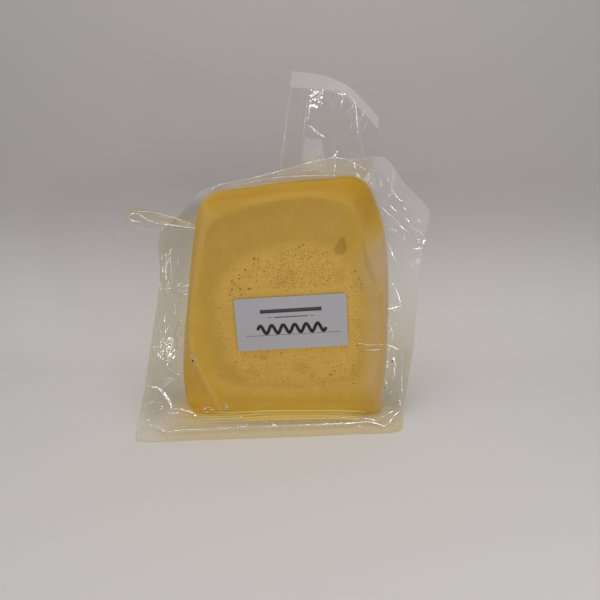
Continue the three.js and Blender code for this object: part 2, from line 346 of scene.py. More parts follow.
def on_face(px, py):
    """Where the pixel's sight line meets the slab's front face, as x, z in mm."""
    line = sight_line(px, py)
    reach = (FACE_Y - CAMERA_PLACE[1]) / line.y
    return CAMERA_PLACE[0] + line.x * reach, CAMERA_PLACE[2] + line.z * reach


def face_outline(pixels):
    """Where a path of pixels lies on the slab's front face, as x, z in mm."""
    return np.array([on_face(*pixel) for pixel in pixels])


def seen_at(points):
    """The pixels at which points in mm are seen."""
    offset = np.asarray(points) - np.array(CAMERA_PLACE)
    ahead, rise = math.cos(CAMERA_DOWN), math.sin(CAMERA_DOWN)
    depth = offset[..., 1] * ahead - offset[..., 2] * rise
    up = offset[..., 1] * rise + offset[..., 2] * ahead
    scale = PHOTO_SIZE * LENS / SENSOR / depth
    return np.stack([PHOTO_SIZE / 2 + offset[..., 0] * scale, PHOTO_SIZE / 2 - up * scale], -1)


def line_distance(points, line, closed=False):
    """Distance of 2-D or 3-D points from a polyline."""
    line = np.asarray(line, float)
    starts = line if closed else line[:-1]
    ends = np.roll(line, -1, axis=0) if closed else line[1:]
    nearest = np.full(len(points), np.inf)
    for a, b in zip(starts, ends):
        along = b - a
        share = np.clip((points - a) @ along / max(along @ along, 1e-9), 0, 1)
        gap = np.linalg.norm(points - (a + share[:, None] * along), axis=1)
        nearest = np.minimum(nearest, gap)
    return nearest


def inside(points, outline):
    """True for each 2-D point within a closed outline."""
    x, z = points[:, 0], points[:, 1]
    within = np.zeros(len(points), bool)
    for (ax, az), (bx, bz) in zip(outline, np.roll(outline, -1, axis=0)):
        crosses = (az > z) != (bz > z)
        rise = bz - az if abs(bz - az) > 1e-9 else 1e-9
        within ^= crosses & (x < ax + (z - az) / rise * (bx - ax))
    return within


def depth_within(points, outline):
    """Distance inside a closed outline, and minus the distance outside it."""
    gap = line_distance(points, outline, closed=True)
    return np.where(inside(points, outline), gap, -gap)


# The right soft box, and its size; the left one mirrors it. In metres.
BOX_PLACE = (0.24, -0.32, 0.16)
BOX_SIZE = (0.015, 0.03)

# ---- The slab's closed skin, shared by the cheese and its film ---------------------------------

AROUND = 560
ROUNDING = 12
WALL = 6


def slab_rows(inset):
    """Loops round the slab from the front face's border to the back's, moved in by inset."""
    share = np.arange(AROUND) / AROUND
    edge = between("edge", share)
    half = SLAB_THICKNESS / 2
    rows = [slab_loop(share, turn, -1) for turn in np.linspace(0, 1, ROUNDING + 1)]
    for part in np.linspace(0, 1, WALL + 2)[1:-1]:
        depth = edge + (half - edge) * 2 * part
        side = np.where(depth <= half, -1, 1)
        rows.append(slab_point(share, np.minimum(depth, SLAB_THICKNESS - depth), side))
    rows += [slab_loop(share, turn, 1) for turn in np.linspace(1, 0, ROUNDING + 1)]
    grid = np.array(rows)
    quads = strip_quads(len(grid), AROUND, True)
    normals = vertex_normals(grid.reshape(-1, 3), quads).reshape(grid.shape)
    normals[0], normals[-1] = (0, -1, 0), (0, 1, 0)
    return grid - normals * inset, normals, quads


def close_faces(grid, quads, inner):
    """Points and faces of the loops, with a triangulated face over each end.

    inner holds the points within the front and the back face, as x, y, z.
    """
    points = [grid.reshape(-1, 3)]
    faces = quads.tolist()
    size = len(points[0])
    for border, start, extra, flip in (
        (grid[0], 0, inner[0], False),
        (grid[-1], size - AROUND, inner[1], True),
    ):
        flat = [Vector((p[0], p[2])) for p in border] + [Vector((p[0], p[2])) for p in extra]
        ring = [list(range(AROUND))]
        _, _, triangles, sources, _, _ = delaunay_2d_cdt(flat, [], ring, 1, 1e-6, True)
        first_extra = sum(len(p) for p in points)
        index = [
            start + source[0] if source[0] < AROUND else first_extra + source[0] - AROUND
            for source in sources
        ]
        for triangle in triangles:
            corners = [index[k] for k in triangle]
            faces.append(corners[::-1] if flip else corners)
        points.append(extra)
    return np.vstack(points), faces


def hexagonal_grid(outline, step, margin):
    """Points step apart within a closed outline, margin clear of it."""
    low, high = outline.min(0), outline.max(0)
    rows = np.arange(low[1], high[1], step * math.sqrt(3) / 2)
    points = []
    for k, z in enumerate(rows):
        x = np.arange(low[0] + step * (k % 2) / 2, high[0], step)
        points.append(np.stack([x, np.full(len(x), z)], -1))
    points = np.vstack(points)
    return points[depth_within(points, outline) > margin]


# ---- Materials ---------------------------------------------------------------------------------


def hex_linear(code):
    """A linear colour with alpha from an sRGB hex value such as #d9af57."""
    channels = [int(code[i : i + 2], 16) / 255 for i in (1, 3, 5)]
    return (*[c / 12.92 if c <= 0.04045 else ((c + 0.055) / 1.055) ** 2.4 for c in channels], 1.0)


def add_node(tree, kind, settings=None, **inputs):
    """Adds a node with its settings; inputs are keyed by socket identifier, spaces as __."""
    node = tree.nodes.new(kind)
    for key, value in (settings or {}).items():
        setattr(node, key, value)
    sockets = {socket.identifier: socket for socket in node.inputs}
    for key, value in inputs.items():
        socket = sockets[key.replace("__", " ")]
        if isinstance(value, bpy.types.NodeSocket):
            tree.links.new(value, socket)
        else:
            socket.default_value = value
    return node


def new_material(name):
    """A material with an empty tree: both, and the tree's Object coordinates."""
    material = bpy.data.materials.new(name)
    material.use_nodes = True
    tree = material.node_tree
    tree.nodes.clear()
    return material, tree, add_node(tree, "ShaderNodeTexCoord").outputs["Object"]


def output_of(node, identifier):
    """A node's output by its identifier, where several have one name."""
    return next(socket for socket in node.outputs if socket.identifier == identifier)


def soft_cheese(settings):
    """Pressed cow's-milk curd: waxy, slightly translucent, pale where it is dry, deep where wet.

    The film wets it towards the edges, where its yellow is deeper; round the eyes, where it has let
    go, the curd is lighter. Painted shade darkens eyes, pin-holes and dents inside, its top edge,
    its right side and the ridge there; painted light brightens its foot, the facet low on the left
    and the ridge in front of it.
    """
    material, tree, place = new_material("soft_cow_milk_cheese")
    deep, light, eye = (
        add_node(tree, "ShaderNodeAttribute", {"attribute_name": key}).outputs["Fac"]
        for key in ("deep", "light", "eye")
    )
    # Curd mottle about 9 mm across, and a grain of about 1.4 mm.
    mottle = add_node(tree, "ShaderNodeTexNoise", Vector=place, Scale=1 / (9 * MM), Detail=3.0)
    grain = add_node(tree, "ShaderNodeTexNoise", Vector=place, Scale=1 / (1.4 * MM), Detail=4.0)
    mottled = add_node(
        tree, "ShaderNodeMath", {"operation": "MULTIPLY_ADD"},
        Value=mottle.outputs["Fac"], Value_001=0.6, Value_002=-0.3,
    )
    tones = settings.pale
    # The light attribute is partly the curd's open fields and partly painted light.
    for level, shade in ((deep, settings.deep), (light, settings.light)):
        amount = add_node(
            tree, "ShaderNodeMath", {"operation": "ADD", "use_clamp": True},
            Value=level, Value_001=mottled.outputs[0],
        )
        mixed = add_node(
            tree, "ShaderNodeMix", {"data_type": "RGBA"}, Factor_Float=amount.outputs[0],
            A_Color=tones, B_Color=shade,
        )
        tones = output_of(mixed, "Result_Color")
    # Pin-holes about 1.1 mm apart in the open curd, with painted shade inside them.
    cells = add_node(tree, "ShaderNodeTexVoronoi", Vector=place, Scale=1 / (1.1 * MM))
    holes = add_node(
        tree, "ShaderNodeMapRange", Value=cells.outputs["Distance"],
        From__Min=0.12, From__Max=0.36, To__Min=0.55, To__Max=0.0,
    )
    open_holes = add_node(
        tree, "ShaderNodeMath", {"operation": "MULTIPLY"},
        Value=holes.outputs["Result"], Value_001=light,
    )
    hollow_shade = add_node(
        tree, "ShaderNodeMath", {"operation": "MAXIMUM"},
        Value=open_holes.outputs[0], Value_001=eye,
    )
    grained = add_node(
        tree, "ShaderNodeMapRange", Value=grain.outputs["Fac"],
        From__Min=0.35, From__Max=0.7, To__Min=0.0, To__Max=0.22,
    )
    grainy = add_node(
        tree, "ShaderNodeMix", {"data_type": "RGBA", "blend_type": "MULTIPLY"},
        Factor_Float=grained.outputs["Result"],
        A_Color=tones, B_Color=settings.grain,
    )
    shaded = add_node(
        tree, "ShaderNodeMix", {"data_type": "RGBA", "blend_type": "MULTIPLY"},
        Factor_Float=hollow_shade.outputs[0],
        A_Color=output_of(grainy, "Result_Color"), B_Color=settings.painted_shade,
    )
    relief = add_node(
        tree, "ShaderNodeMath", {"operation": "MULTIPLY_ADD"},
        Value=open_holes.outputs[0], Value_001=-1.5, Value_002=grain.outputs["Fac"],
    )
    bump = add_node(
        tree, "ShaderNodeBump", Strength=0.45, Distance=0.18 * MM, Height=relief.outputs[0],
    )
    surface = add_node(
        tree, "ShaderNodeBsdfPrincipled",
        Base__Color=output_of(shaded, "Result_Color"), Roughness=0.5, IOR=1.45,
        Specular__IOR__Level=0.05, Subsurface__Weight=0.2,
        Subsurface__Radius=(1.0, 0.6, 0.25), Subsurface__Scale=1.5 * MM,
        Normal=bump.outputs["Normal"],
    )
    add_node(tree, "ShaderNodeOutputMaterial", Surface=surface.outputs["BSDF"])
    return material


def clear_film(settings, name="clear_vacuum_film", gloss=1.0, haze=0.0, slant=1.0, ripple=0.5):
    """Co-extruded nylon and polyethylene film: clear, glossy, milky where it is heat-sealed.

    Near the slab a painted glow tints it with the cheese's yellow light, its seals are embossed with a
    mesh, and it looks milkier edge-on. Schlick's rule gives its reflection from the angle alone, so
    both of its faces agree.
    """
    material, tree, place = new_material(name)
    frost, glow, mesh, smoke = (
        add_node(tree, "ShaderNodeAttribute", {"attribute_name": key}).outputs["Fac"]
        for key in ("frost", "glow", "mesh", "smoke")
    )
    # Long handling creases about 8 mm apart, drawn out upwards.
    stretched = add_node(tree, "ShaderNodeMapping", Vector=place, Scale=(1.0, 1.0, 0.35))
    creases = add_node(
        tree, "ShaderNodeTexNoise", Vector=stretched.outputs[0], Scale=1 / (8 * MM), Detail=3.0,
        Distortion=0.4,
    )
    bump = add_node(
        tree, "ShaderNodeBump", Strength=ripple, Distance=0.35 * MM, Height=creases.outputs["Fac"],
    )
    facing = add_node(
        tree, "ShaderNodeLayerWeight", Blend=0.5, Normal=bump.outputs["Normal"],
    ).outputs["Facing"]
    rim = add_node(tree, "ShaderNodeMath", {"operation": "POWER"}, Value=facing, Value_001=5.0)
    shine = add_node(
        tree, "ShaderNodeMath", {"operation": "MULTIPLY_ADD", "use_clamp": True},
        Value=rim.outputs[0], Value_001=0.6, Value_002=settings.shine * gloss,
    )
    dry = add_node(
        tree, "ShaderNodeMix", {"data_type": "RGBA"}, Factor_Float=smoke,
        A_Color=settings.film_tint, B_Color=settings.fold_tint,
    )
    # Painted glow: the glow attribute tints the film and its haze with the cheese's yellow light.
    tint = add_node(
        tree, "ShaderNodeMix", {"data_type": "RGBA"}, Factor_Float=glow,
        A_Color=output_of(dry, "Result_Color"), B_Color=settings.cheese_glow_tint,
    )
    clear = add_node(tree, "ShaderNodeBsdfTransparent", Color=output_of(tint, "Result_Color"))
    glossy = add_node(
        tree, "ShaderNodeBsdfAnisotropic", Color=(1, 1, 1, 1), Roughness=settings.roughness,
        Normal=bump.outputs["Normal"],
    )
    film = add_node(
        tree, "ShaderNodeMixShader", Fac=shine.outputs[0],
        Shader=clear.outputs[0], Shader_001=glossy.outputs[0],
    )
    milk = add_node(
        tree, "ShaderNodeMix", {"data_type": "RGBA"}, Factor_Float=glow,
        A_Color=settings.milk, B_Color=settings.cheese_glow,
    )
    milky = add_node(tree, "ShaderNodeBsdfDiffuse", Color=output_of(milk, "Result_Color"))
    # A diamond mesh 1.5 mm wide, pressed in by the sealing bars.
    turned = add_node(tree, "ShaderNodeMapping", Vector=place, Rotation=(0.5, math.pi / 4, 0.3))
    lattice = add_node(
        tree, "ShaderNodeTexVoronoi", {"feature": "DISTANCE_TO_EDGE"},
        Vector=turned.outputs[0], Scale=1 / (1.5 * MM), Randomness=0.0,
    )
    lines = add_node(
        tree, "ShaderNodeMapRange", Value=lattice.outputs["Distance"],
        From__Min=0.05, From__Max=0.25, To__Min=0.3, To__Max=0.0,
    )
    pressed = add_node(
        tree, "ShaderNodeMath", {"operation": "MULTIPLY_ADD"},
        Value=lines.outputs["Result"], Value_001=mesh, Value_002=settings.haze + haze,
    )
    sealed = add_node(
        tree, "ShaderNodeMath", {"operation": "MULTIPLY_ADD"},
        Value=frost, Value_001=settings.seal_haze, Value_002=pressed.outputs[0],
    )
    slanted = add_node(tree, "ShaderNodeMath", {"operation": "POWER"}, Value=facing, Value_001=2.5)
    amount = add_node(
        tree, "ShaderNodeMath", {"operation": "MULTIPLY_ADD", "use_clamp": True},
        Value=slanted.outputs[0], Value_001=settings.slant_haze * slant, Value_002=sealed.outputs[0],
    )
    whole = add_node(
        tree, "ShaderNodeMixShader", Fac=amount.outputs[0],
        Shader=film.outputs[0], Shader_001=milky.outputs[0],
    )
    add_node(tree, "ShaderNodeOutputMaterial", Surface=whole.outputs[0])
    return material


def coated_paper(settings):
    """Matt coated label paper, with a faint mottle of its fibres, about 0.8 mm across."""
    material, tree, place = new_material("matt_coated_paper")
    fibres = add_node(tree, "ShaderNodeTexNoise", Vector=place, Scale=1 / (0.8 * MM), Detail=3.0)
    sheet = add_node(tree, "ShaderNodeTexNoise", Vector=place, Scale=1 / (25 * MM), Detail=1.0)
    tone = add_node(
        tree, "ShaderNodeMix", {"data_type": "RGBA"}, Factor_Float=sheet.outputs["Fac"],
        A_Color=settings.paper, B_Color=settings.paper_shade,
    )
    bump = add_node(
        tree, "ShaderNodeBump", Strength=0.2, Distance=0.05 * MM, Height=fibres.outputs["Fac"],
    )
    surface = add_node(
        tree, "ShaderNodeBsdfPrincipled", Base__Color=output_of(tone, "Result_Color"),
        Roughness=0.6, Specular__IOR__Level=0.3, Normal=bump.outputs["Normal"],
    )
    add_node(tree, "ShaderNodeOutputMaterial", Surface=surface.outputs["BSDF"])
    return material


def ink(name, colour, roughness):
    """Ink on paper: a thin, slightly uneven black."""
    material, tree, place = new_material(name)
    wear = add_node(tree, "ShaderNodeTexNoise", Vector=place, Scale=1 / (1.2 * MM), Detail=3.0)
    faded = (*[min(c * 1.5 + 0.01, 1) for c in colour[:3]], 1.0)
    tone = add_node(
        tree, "ShaderNodeMix", {"data_type": "RGBA"}, Factor_Float=wear.outputs["Fac"],
        A_Color=colour, B_Color=faded,
    )
    surface = add_node(
        tree, "ShaderNodeBsdfPrincipled", Base__Color=output_of(tone, "Result_Color"),
        Roughness=roughness,
    )
    add_node(tree, "ShaderNodeOutputMaterial", Surface=surface.outputs["BSDF"])
    return material


# ---- What shows on the front of the cheese, by pixel of the photograph -------------------------

# The border between the paler middle, where the film has let go, and the wetted edge.
PALE_OUTLINE = (
    (204, 232), (212, 219), (232, 212), (250, 206), (270, 200), (290, 197), (325, 199), (344, 211),
    (352, 235), (356, 280), (359, 330), (360, 375), (352, 389), (310, 391), (270, 389), (238, 386),
    (218, 372), (205, 330), (198, 280),
)
SECOND_ARC = ((206, 276), (222, 258), (246, 247), (275, 242), (310, 240), (330, 243))
LABEL_OUTLINE = ((232, 298), (345, 292), (349, 344), (239, 351))

# px, py and radius in mm of the eyes that stand out.
LARGE_EYES = (
    (299, 247, 0.5), (303, 245, 0.55), (292, 250, 0.35), (318, 251, 0.4), (326, 252, 0.35),
    (254, 259, 0.75), (258, 260, 0.55), (245, 270, 0.6), (239, 275, 0.4), (239, 279, 0.5),
    (232, 282, 0.6), (234, 284, 0.5), (232, 290, 0.55), (240, 289, 0.6), (249, 289, 0.8),
    (249, 277, 0.35), (241, 295, 0.5), (230, 295, 0.5), (264, 272, 0.55), (302, 259, 0.4),
    (276, 258, 0.35), (280, 256, 0.35), (270, 265, 0.35), (320, 278, 0.5), (287, 291, 0.35),
    (311, 291, 0.4), (277, 288, 0.35), (355, 272, 0.55), (359, 279, 0.45), (361, 284, 0.5),
    (362, 288, 0.35), (330, 375, 0.6), (332, 375, 0.5), (281, 353, 0.5), (357, 346, 0.6),
    (353, 366, 0.45), (353, 384, 0.5), (351, 358, 0.35), (219, 308, 0.45), (219, 324, 0.4),
    (248, 358, 0.4), (250, 364, 0.45), (250, 370, 0.4), (221, 376, 0.45), (296, 360, 0.35),
)

# Outlines of the fields of small eyes, how many each holds, and their radii in mm.
EYE_FIELDS = (
    (((262, 268), (276, 252), (300, 248), (328, 251), (335, 262), (333, 286), (296, 289),
      (268, 288)), 280, (0.2, 0.44)),
    (((222, 300), (230, 280), (246, 266), (262, 258), (262, 290), (236, 297), (240, 352),
      (262, 350), (345, 347), (350, 300), (336, 290), (350, 268), (362, 284), (364, 350),
      (358, 388), (320, 394), (270, 384), (232, 372), (218, 340)), 420, (0.18, 0.40)),
)
MIN_GAP = 0.3  # mm between two eyes
EYE_TRIES = 30  # draws for each small eye before its field counts as full
EYE_STRETCH = (0.75, 1.3)  # least and most stretch of the eyes that stand out
SMALL_STRETCH = (0.7, 1.4)  # and of the small ones
LABEL_GAP = 0.5  # mm that the small ones keep clear of the label
# Mesh points round an eye: level, and how many.
EYE_RINGS = ((0.55, 6), (0.85, 9), (1.05, 9), (1.35, 9))

# px, py, half-width and half-height in mm, and depth in mm of the wide shallow dents.
DENTS = (
    (262, 357, 3.2, 2.0, 0.55), (311, 377, 1.6, 3.0, 0.6), (340, 275, 3.2, 5.0, 0.22),
    (291, 274, 3.0, 2.4, 0.18), (320, 300, 2.0, 2.0, 0.2), (252, 372, 4.0, 2.0, 0.15),
    (300, 368, 5.0, 3.0, 0.12), (280, 283, 4.0, 2.0, 0.12),
)

# Where the curd is lighter: outlines, and how light.
LIGHT_FIELDS = (
    (((214, 300), (222, 276), (244, 256), (276, 246), (310, 243), (332, 248), (352, 270), (362, 300),
      (363, 350), (352, 378), (300, 387), (250, 383), (226, 358)), 0.75),
    (((214, 378), (240, 384), (300, 386), (352, 380), (374, 360), (378, 376), (372, 390), (300, 397),
      (230, 396)), 0.65),
    (((363, 300), (372, 330), (378, 376), (366, 380), (360, 340)), 0.5),
)

# The ridges in front of the slab's two oblique facets, by pixel: a painted highlight on the left
# one and painted shade on the right one.
LEFT_RIDGE = ((190, 335), (191, 345), (193, 357), (197, 365), (207, 385), (218, 405), (222, 413))
RIGHT_RIDGE = ((352, 179), (352, 190), (355, 210), (362, 238), (366, 267), (375, 285), (384, 301))
RIDGE_WIDTH = 2.2  # pixels from a ridge's middle to where it fades
RIDGE_SHADE = 0.3  # how dark the right one's painted shade is, as a share of that in an eye

# Painted shade along the cheese's top edge, as a share of the painted shade in an eye: at most,
# as a share of that at the face's border, and how far in from the border it reaches in mm.
TOP_PAINTED_SHADE = 0.6
TOP_SHADE_START = 0.35
TOP_SHADE_REACH = 12
RIGHT_PAINTED_SHADE = 0.22  # and painted shade down its right side
TOP_BORDER = (95, 110)  # z in mm on the face between which the first sets in
RIGHT_BORDER = (32, 46)  # and x for the second
FOOT_PAINTED_LIGHT = 0.9  # painted light that brightens the curd along the foot
FACET_PAINTED_LIGHT = 0.6  # and on the oblique facet low on the left

# The tear-shaped eye: centre and radius of its bowl, and its tip, in mm on the face.
TEAR_CENTRE = (28.0, 98.0)
TEAR_RADIUS = 3.7
TEAR_TIP = (29.3, 105.8)
TEAR_DEPTH = 1.5
# The part of the face round it that has a finer mesh, and that mesh's step in mm.
TEAR_ZONE = ((22, 91), (34, 91), (34, 107), (22, 107))
TEAR_STEP = 0.45

FACE_WAVES = ((0.10, 9.0, 3, False), (0.03, 2.2, 4, False))
BACK_WAVES = ((0.25, 11.0, 8, False), (0.08, 4.0, 9, False))
FACE_FADE = 6  # mm from a face's border over which its relief fades
EYE_LIP = 0.04  # mm that the curd rises round an eye
TEAR_LIP = 0.12  # and round the tear-shaped one
TEAR_SHADE = 0.45  # how dark that one is inside, as a share of an eye's shade
DENT_SHADE = 0.3  # and a dent at its middle
PALE_BORDER = (-8, 7)  # mm within the pale middle's outline between which it sets in
PALE_RISE = 0.2  # mm that it stands before the wetted edge
LIGHT_BORDER = (-5, 5)  # mm within a light field's outline between which it sets in
BACK_STEP = 2.0  # mm between mesh points on the back
BACK_WET = (2, 16)  # mm in from the back's border between which its wet rim fades
EYE_CLEARANCE = 1.7  # the plain grid keeps out of this many radii of an eye

# Grooves pressed into the face by creases of the film: pixels, half-width and depth in mm.
GROOVES = (
    (((208, 405), (250, 403), (300, 404), (350, 406), (368, 409)), 3.0, 0.55),
    (((196, 238), (204, 248), (212, 256)), 1.0, 0.35),
    (((195, 299), (203, 298)), 0.8, 0.3),
    (SECOND_ARC, 1.2, 0.16),
)


def tear_level(points):
    """0 at the middle of the tear-shaped eye, 1 at its border."""
    (cx, cz), (tx, tz) = TEAR_CENTRE, TEAR_TIP
    across, up = points[:, 0] - cx, points[:, 1] - cz
    share = np.clip(up / (tz - cz), 0, 1)
    width = TEAR_RADIUS * np.maximum(1 - share, 0) ** 0.8 + 0.05
    pointed = np.abs(across - share * (tx - cx)) / width + np.maximum(up - (tz - cz), 0)
    return np.where(up > 0, np.maximum(pointed, share), np.hypot(across, up) / TEAR_RADIUS)


def scatter_eyes(seed):
    """The eyes as rows of x, z, radius, stretch and turn: the named ones, then the fields."""
    draw = random.Random(seed)
    eyes = []
    for px, py, radius in LARGE_EYES:
        shape = (draw.uniform(*EYE_STRETCH), draw.uniform(0, math.pi))
        eyes.append((*on_face(px, py), radius, *shape))
    label = face_outline(LABEL_OUTLINE)
    for pixels, count, (least, most) in EYE_FIELDS:
        outline = face_outline(pixels)
        low, high = outline.min(0), outline.max(0)
        made = 0
        for _ in range(count * EYE_TRIES):
            if made == count:
                break
            spot = np.array([[draw.uniform(low[0], high[0]), draw.uniform(low[1], high[1])]])
            radius = least + (most - least) * draw.random() ** 2
            if not inside(spot, outline)[0] or depth_within(spot, label)[0] > -LABEL_GAP:
                continue
            x, z = spot[0]
            if tear_level(spot)[0] < 1.2:
                continue
            if any(math.hypot(x - e[0], z - e[1]) < radius + e[2] + MIN_GAP for e in eyes):
                continue
            eyes.append((x, z, radius, draw.uniform(*SMALL_STRETCH), draw.uniform(0, math.pi)))
            made += 1
    return np.array(eyes)


def eye_levels(points, eyes):
    """For each point, its level in the nearest eye (0 middle, 1 border) and that eye's radius."""
    level = np.full(len(points), 9.0)
    radius = np.zeros(len(points))
    for x, z, r, stretch, turn in eyes:
        near = np.flatnonzero((np.abs(points[:, 0] - x) < 4 * r) & (np.abs(points[:, 1] - z) < 4 * r))
        if not len(near):
            continue
        across, up = points[near, 0] - x, points[near, 1] - z
        long = across * math.cos(turn) + up * math.sin(turn)
        wide = up * math.cos(turn) - across * math.sin(turn)
        here = np.hypot(long / (r * stretch), wide * stretch / r)
        better = here < level[near]
        level[near[better]] = here[better]
        radius[near[better]] = r
    return level, radius


def eye_rings(eyes):
    """Mesh points round each eye, so that its wall is drawn whatever the grid."""
    points = []
    for x, z, r, stretch, turn in eyes:
        points.append((x, z))
        for level, count in EYE_RINGS:
            for k in range(count):
                angle = 2 * math.pi * (k + level) / count
                long, wide = math.cos(angle) * r * stretch * level, math.sin(angle) * r / stretch * level
                points.append((
                    x + long * math.cos(turn) - wide * math.sin(turn),
                    z + long * math.sin(turn) + wide * math.cos(turn),
                ))
    return np.array(points)


def face_relief(points, eyes, eye_depth):
    """How far each point of the front face lies below its plane, and its painted shade in an eye."""
    level, radius = eye_levels(points, eyes)
    bowl = np.clip(1 - level**3, 0, 1)
    sink = eye_depth * radius * bowl - EYE_LIP * bell(level - 1.25, 0.2)
    # Painted shade inside the eyes, the tear-shaped one and the dents.
    shade = 1 - smooth(0.7, 1.1, level)
    tear = tear_level(points)
    sink += TEAR_DEPTH * np.clip(1 - tear**2.2, 0, 1) - TEAR_LIP * bell(tear - 1.12, 0.1)
    shade = np.maximum(shade, TEAR_SHADE * (1 - smooth(0.7, 1.0, tear)))
    for px, py, wide, high, deep in DENTS:
        x, z = on_face(px, py)
        spot = np.exp(-(((points[:, 0] - x) / wide) ** 2 + ((points[:, 1] - z) / high) ** 2) ** 1.5)
        sink += deep * spot
        shade = np.maximum(shade, DENT_SHADE * spot)
    for pixels, half_width, deep in GROOVES:
        gap = line_distance(points, face_outline(pixels))
        sink += deep * bell(gap, half_width)
    shape = three_d(points, np.zeros(len(points)))
    pale = smooth(*PALE_BORDER, depth_within(points, face_outline(PALE_OUTLINE)))
    sink += PALE_RISE * (1 - pale) + waves(shape, FACE_WAVES)
    return sink, shade, pale


def lightness(points):
    """How open and light the curd is at each point of the front face, 0 to 1."""
    level = np.zeros(len(points))
    for pixels, most in LIGHT_FIELDS:
        within = smooth(*LIGHT_BORDER, depth_within(points, face_outline(pixels)))
        level = np.maximum(level, most * within)
    return level


# ---- What a user may change --------------------------------------------------------------------


def colour_property(name, description, code):
    """A colour whose default is given as an sRGB hex value."""
    return FloatVectorProperty(
        name=name, description=description, subtype="COLOR", size=4, min=0.0, max=1.0,
        default=hex_linear(code),
    )


def length_property(name, description, default, least=0.0):
    """A length in metres, no less than least."""
    return FloatProperty(
        name=name, description=description, default=default, min=least, unit="LENGTH",
    )


def share_property(name, description, default, most=1.0):
    """A plain number from 0 to most."""
    return FloatProperty(name=name, description=description, default=default, min=0.0, max=most)


def power_property(name, description, default):
    """A lamp's power in watts."""
    return FloatProperty(
        name=name, description=description, default=default, min=0.0, unit="POWER",
    )


class CheeseSettings(PropertyGroup):
    """The slab of cheese."""

    film_gap: length_property(
        "Film gap", "How far the cheese lies inside its film", 0.25 * MM, 0.05 * MM,
    )
    face_step: length_property(
        "Face step", "Distance between mesh points on the front face", 0.85 * MM, 0.4 * MM,
    )
    eye_depth: share_property("Eye depth", "Depth of an eye as a share of its radius", 1.0, 3.0)
    seed: IntProperty(name="Seed", description="Draw that scatters the small eyes", default=7)
    pale: colour_property("Pale colour", "The dry skin of the cheese", "#dcb350")
    deep: colour_property("Deep colour", "The cheese where the film wets it", "#e6be48")
    # Also the colour of the painted light along the foot, on the facet low on the left and on its ridge.
    light: colour_property("Light colour", "The open curd round the eyes", "#f4cb66")
    grain: colour_property("Grain shade", "Multiplies the colour in the curd's grain", "#dcc495")
    # Painted shade: multiplies the colour in eyes, pin-holes and dents, along the top edge, down the
    # right side and on the right ridge.
    painted_shade: colour_property("Eye shade", "Multiplies the colour inside an eye", "#d3c199")


class FilmSettings(PropertyGroup):
    """The clear bag."""

    thickness: length_property(
        "Film thickness", "Both films pressed together", 0.25 * MM, 0.05 * MM,
    )
    wrinkle: length_property(
        "Wrinkle height", "Height of the wrinkles in the empty margin", 0.4 * MM,
    )
    crease_width: length_property(
        "Crease width", "Width of a sharp crease of width factor 1", 0.35 * MM, 0.05 * MM,
    )
    shine: share_property(
        "Head-on reflection", "Share of light that the film reflects head-on", 0.04,
    )
    facet_gloss: share_property(
        "Facet gloss", "How much more a crease's facets reflect, being many films", 5.0, 20.0,
    )
    roughness: share_property("Roughness", "Blur of the film's reflections", 0.17)
    haze: share_property("Haze", "Share of light scattered by the clear film", 0.02)
    seal_haze: share_property(
        "Seal haze", "Further share scattered where the film is heat-sealed", 0.20,
    )
    slant_haze: share_property(
        "Slant haze", "Further share scattered where the film is seen edge-on", 0.45,
    )
    seed: IntProperty(name="Seed", description="Draw that scatters the small glints", default=5)
    film_tint: colour_property("Film tint", "Light let through by the clear film", "#fefdfc")
    fold_tint: colour_property("Fold tint", "Light let through where folds lie close", "#f2f0e8")
    # Painted glow: the cheese's yellow light, painted into the film near the slab.
    cheese_glow_tint: colour_property("Whey tint", "Light let through by film wet with whey", "#fef9e6")
    cheese_glow: colour_property("Whey", "Light scattered by film wet with whey", "#ffe27c")
    milk: colour_property("Milkiness", "Light scattered by the film", "#f5f3f1")


class LabelSettings(PropertyGroup):
    """The paper label."""

    print_height: length_property(
        "Print height", "How far the print stands off the paper", 0.04 * MM, 0.01 * MM,
    )
    paper: colour_property("Paper colour", "Front of the label", "#c6c3c7")
    paper_shade: colour_property("Paper shade", "Darker patches of the paper", "#bfbcc1")
    grey_ink: colour_property("Grey ink", "The printed bar and rules", "#3d3c42")
    black_ink: colour_property("Marker ink", "The hand-drawn stroke", "#0c0b10")


class StageSettings(PropertyGroup):
    """Floor, light and camera."""

    floor: colour_property("Floor colour", "The plain pale sweep", "#f0ece8")
    # Painted shade: the wall is greyer than the floor for the lesser light that reaches it.
    wall: colour_property("Wall colour", "The sweep's upright part", "#d0cbcb")
    room: colour_property("Room colour", "The even light all round", "#f4f6fa")
    sweep_start: length_property(
        "Sweep start", "Where the floor starts to curve up behind the pack", 0.05,
    )
    sweep_radius: length_property(
        "Sweep radius", "Radius of the curve from floor to wall", 0.11, 0.01,
    )
    key_power: power_property("Key power", "Power of the soft light overhead", 1.08)
    left_power: power_property("Left power", "Power of the left soft box", 0.04)
    right_power: power_property("Right power", "Power of the right soft box", 0.12)
    fill_power: power_property("Fill power", "Power of the fill light in front", 0.24)
    ambient: share_property("Ambient", "Strength of the even light all round", 0.28)


# ---- The cheese --------------------------------------------------------------------------------


def finish_piece(piece, material, replaced="bag"):
    """Gives a piece its material, hangs it on the root's body and hides the CAD part it replaces."""
    piece.data.materials.clear()
    piece.data.materials.append(material)
    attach(piece, "root")
    if replaced:
        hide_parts(replaced)
    return piece


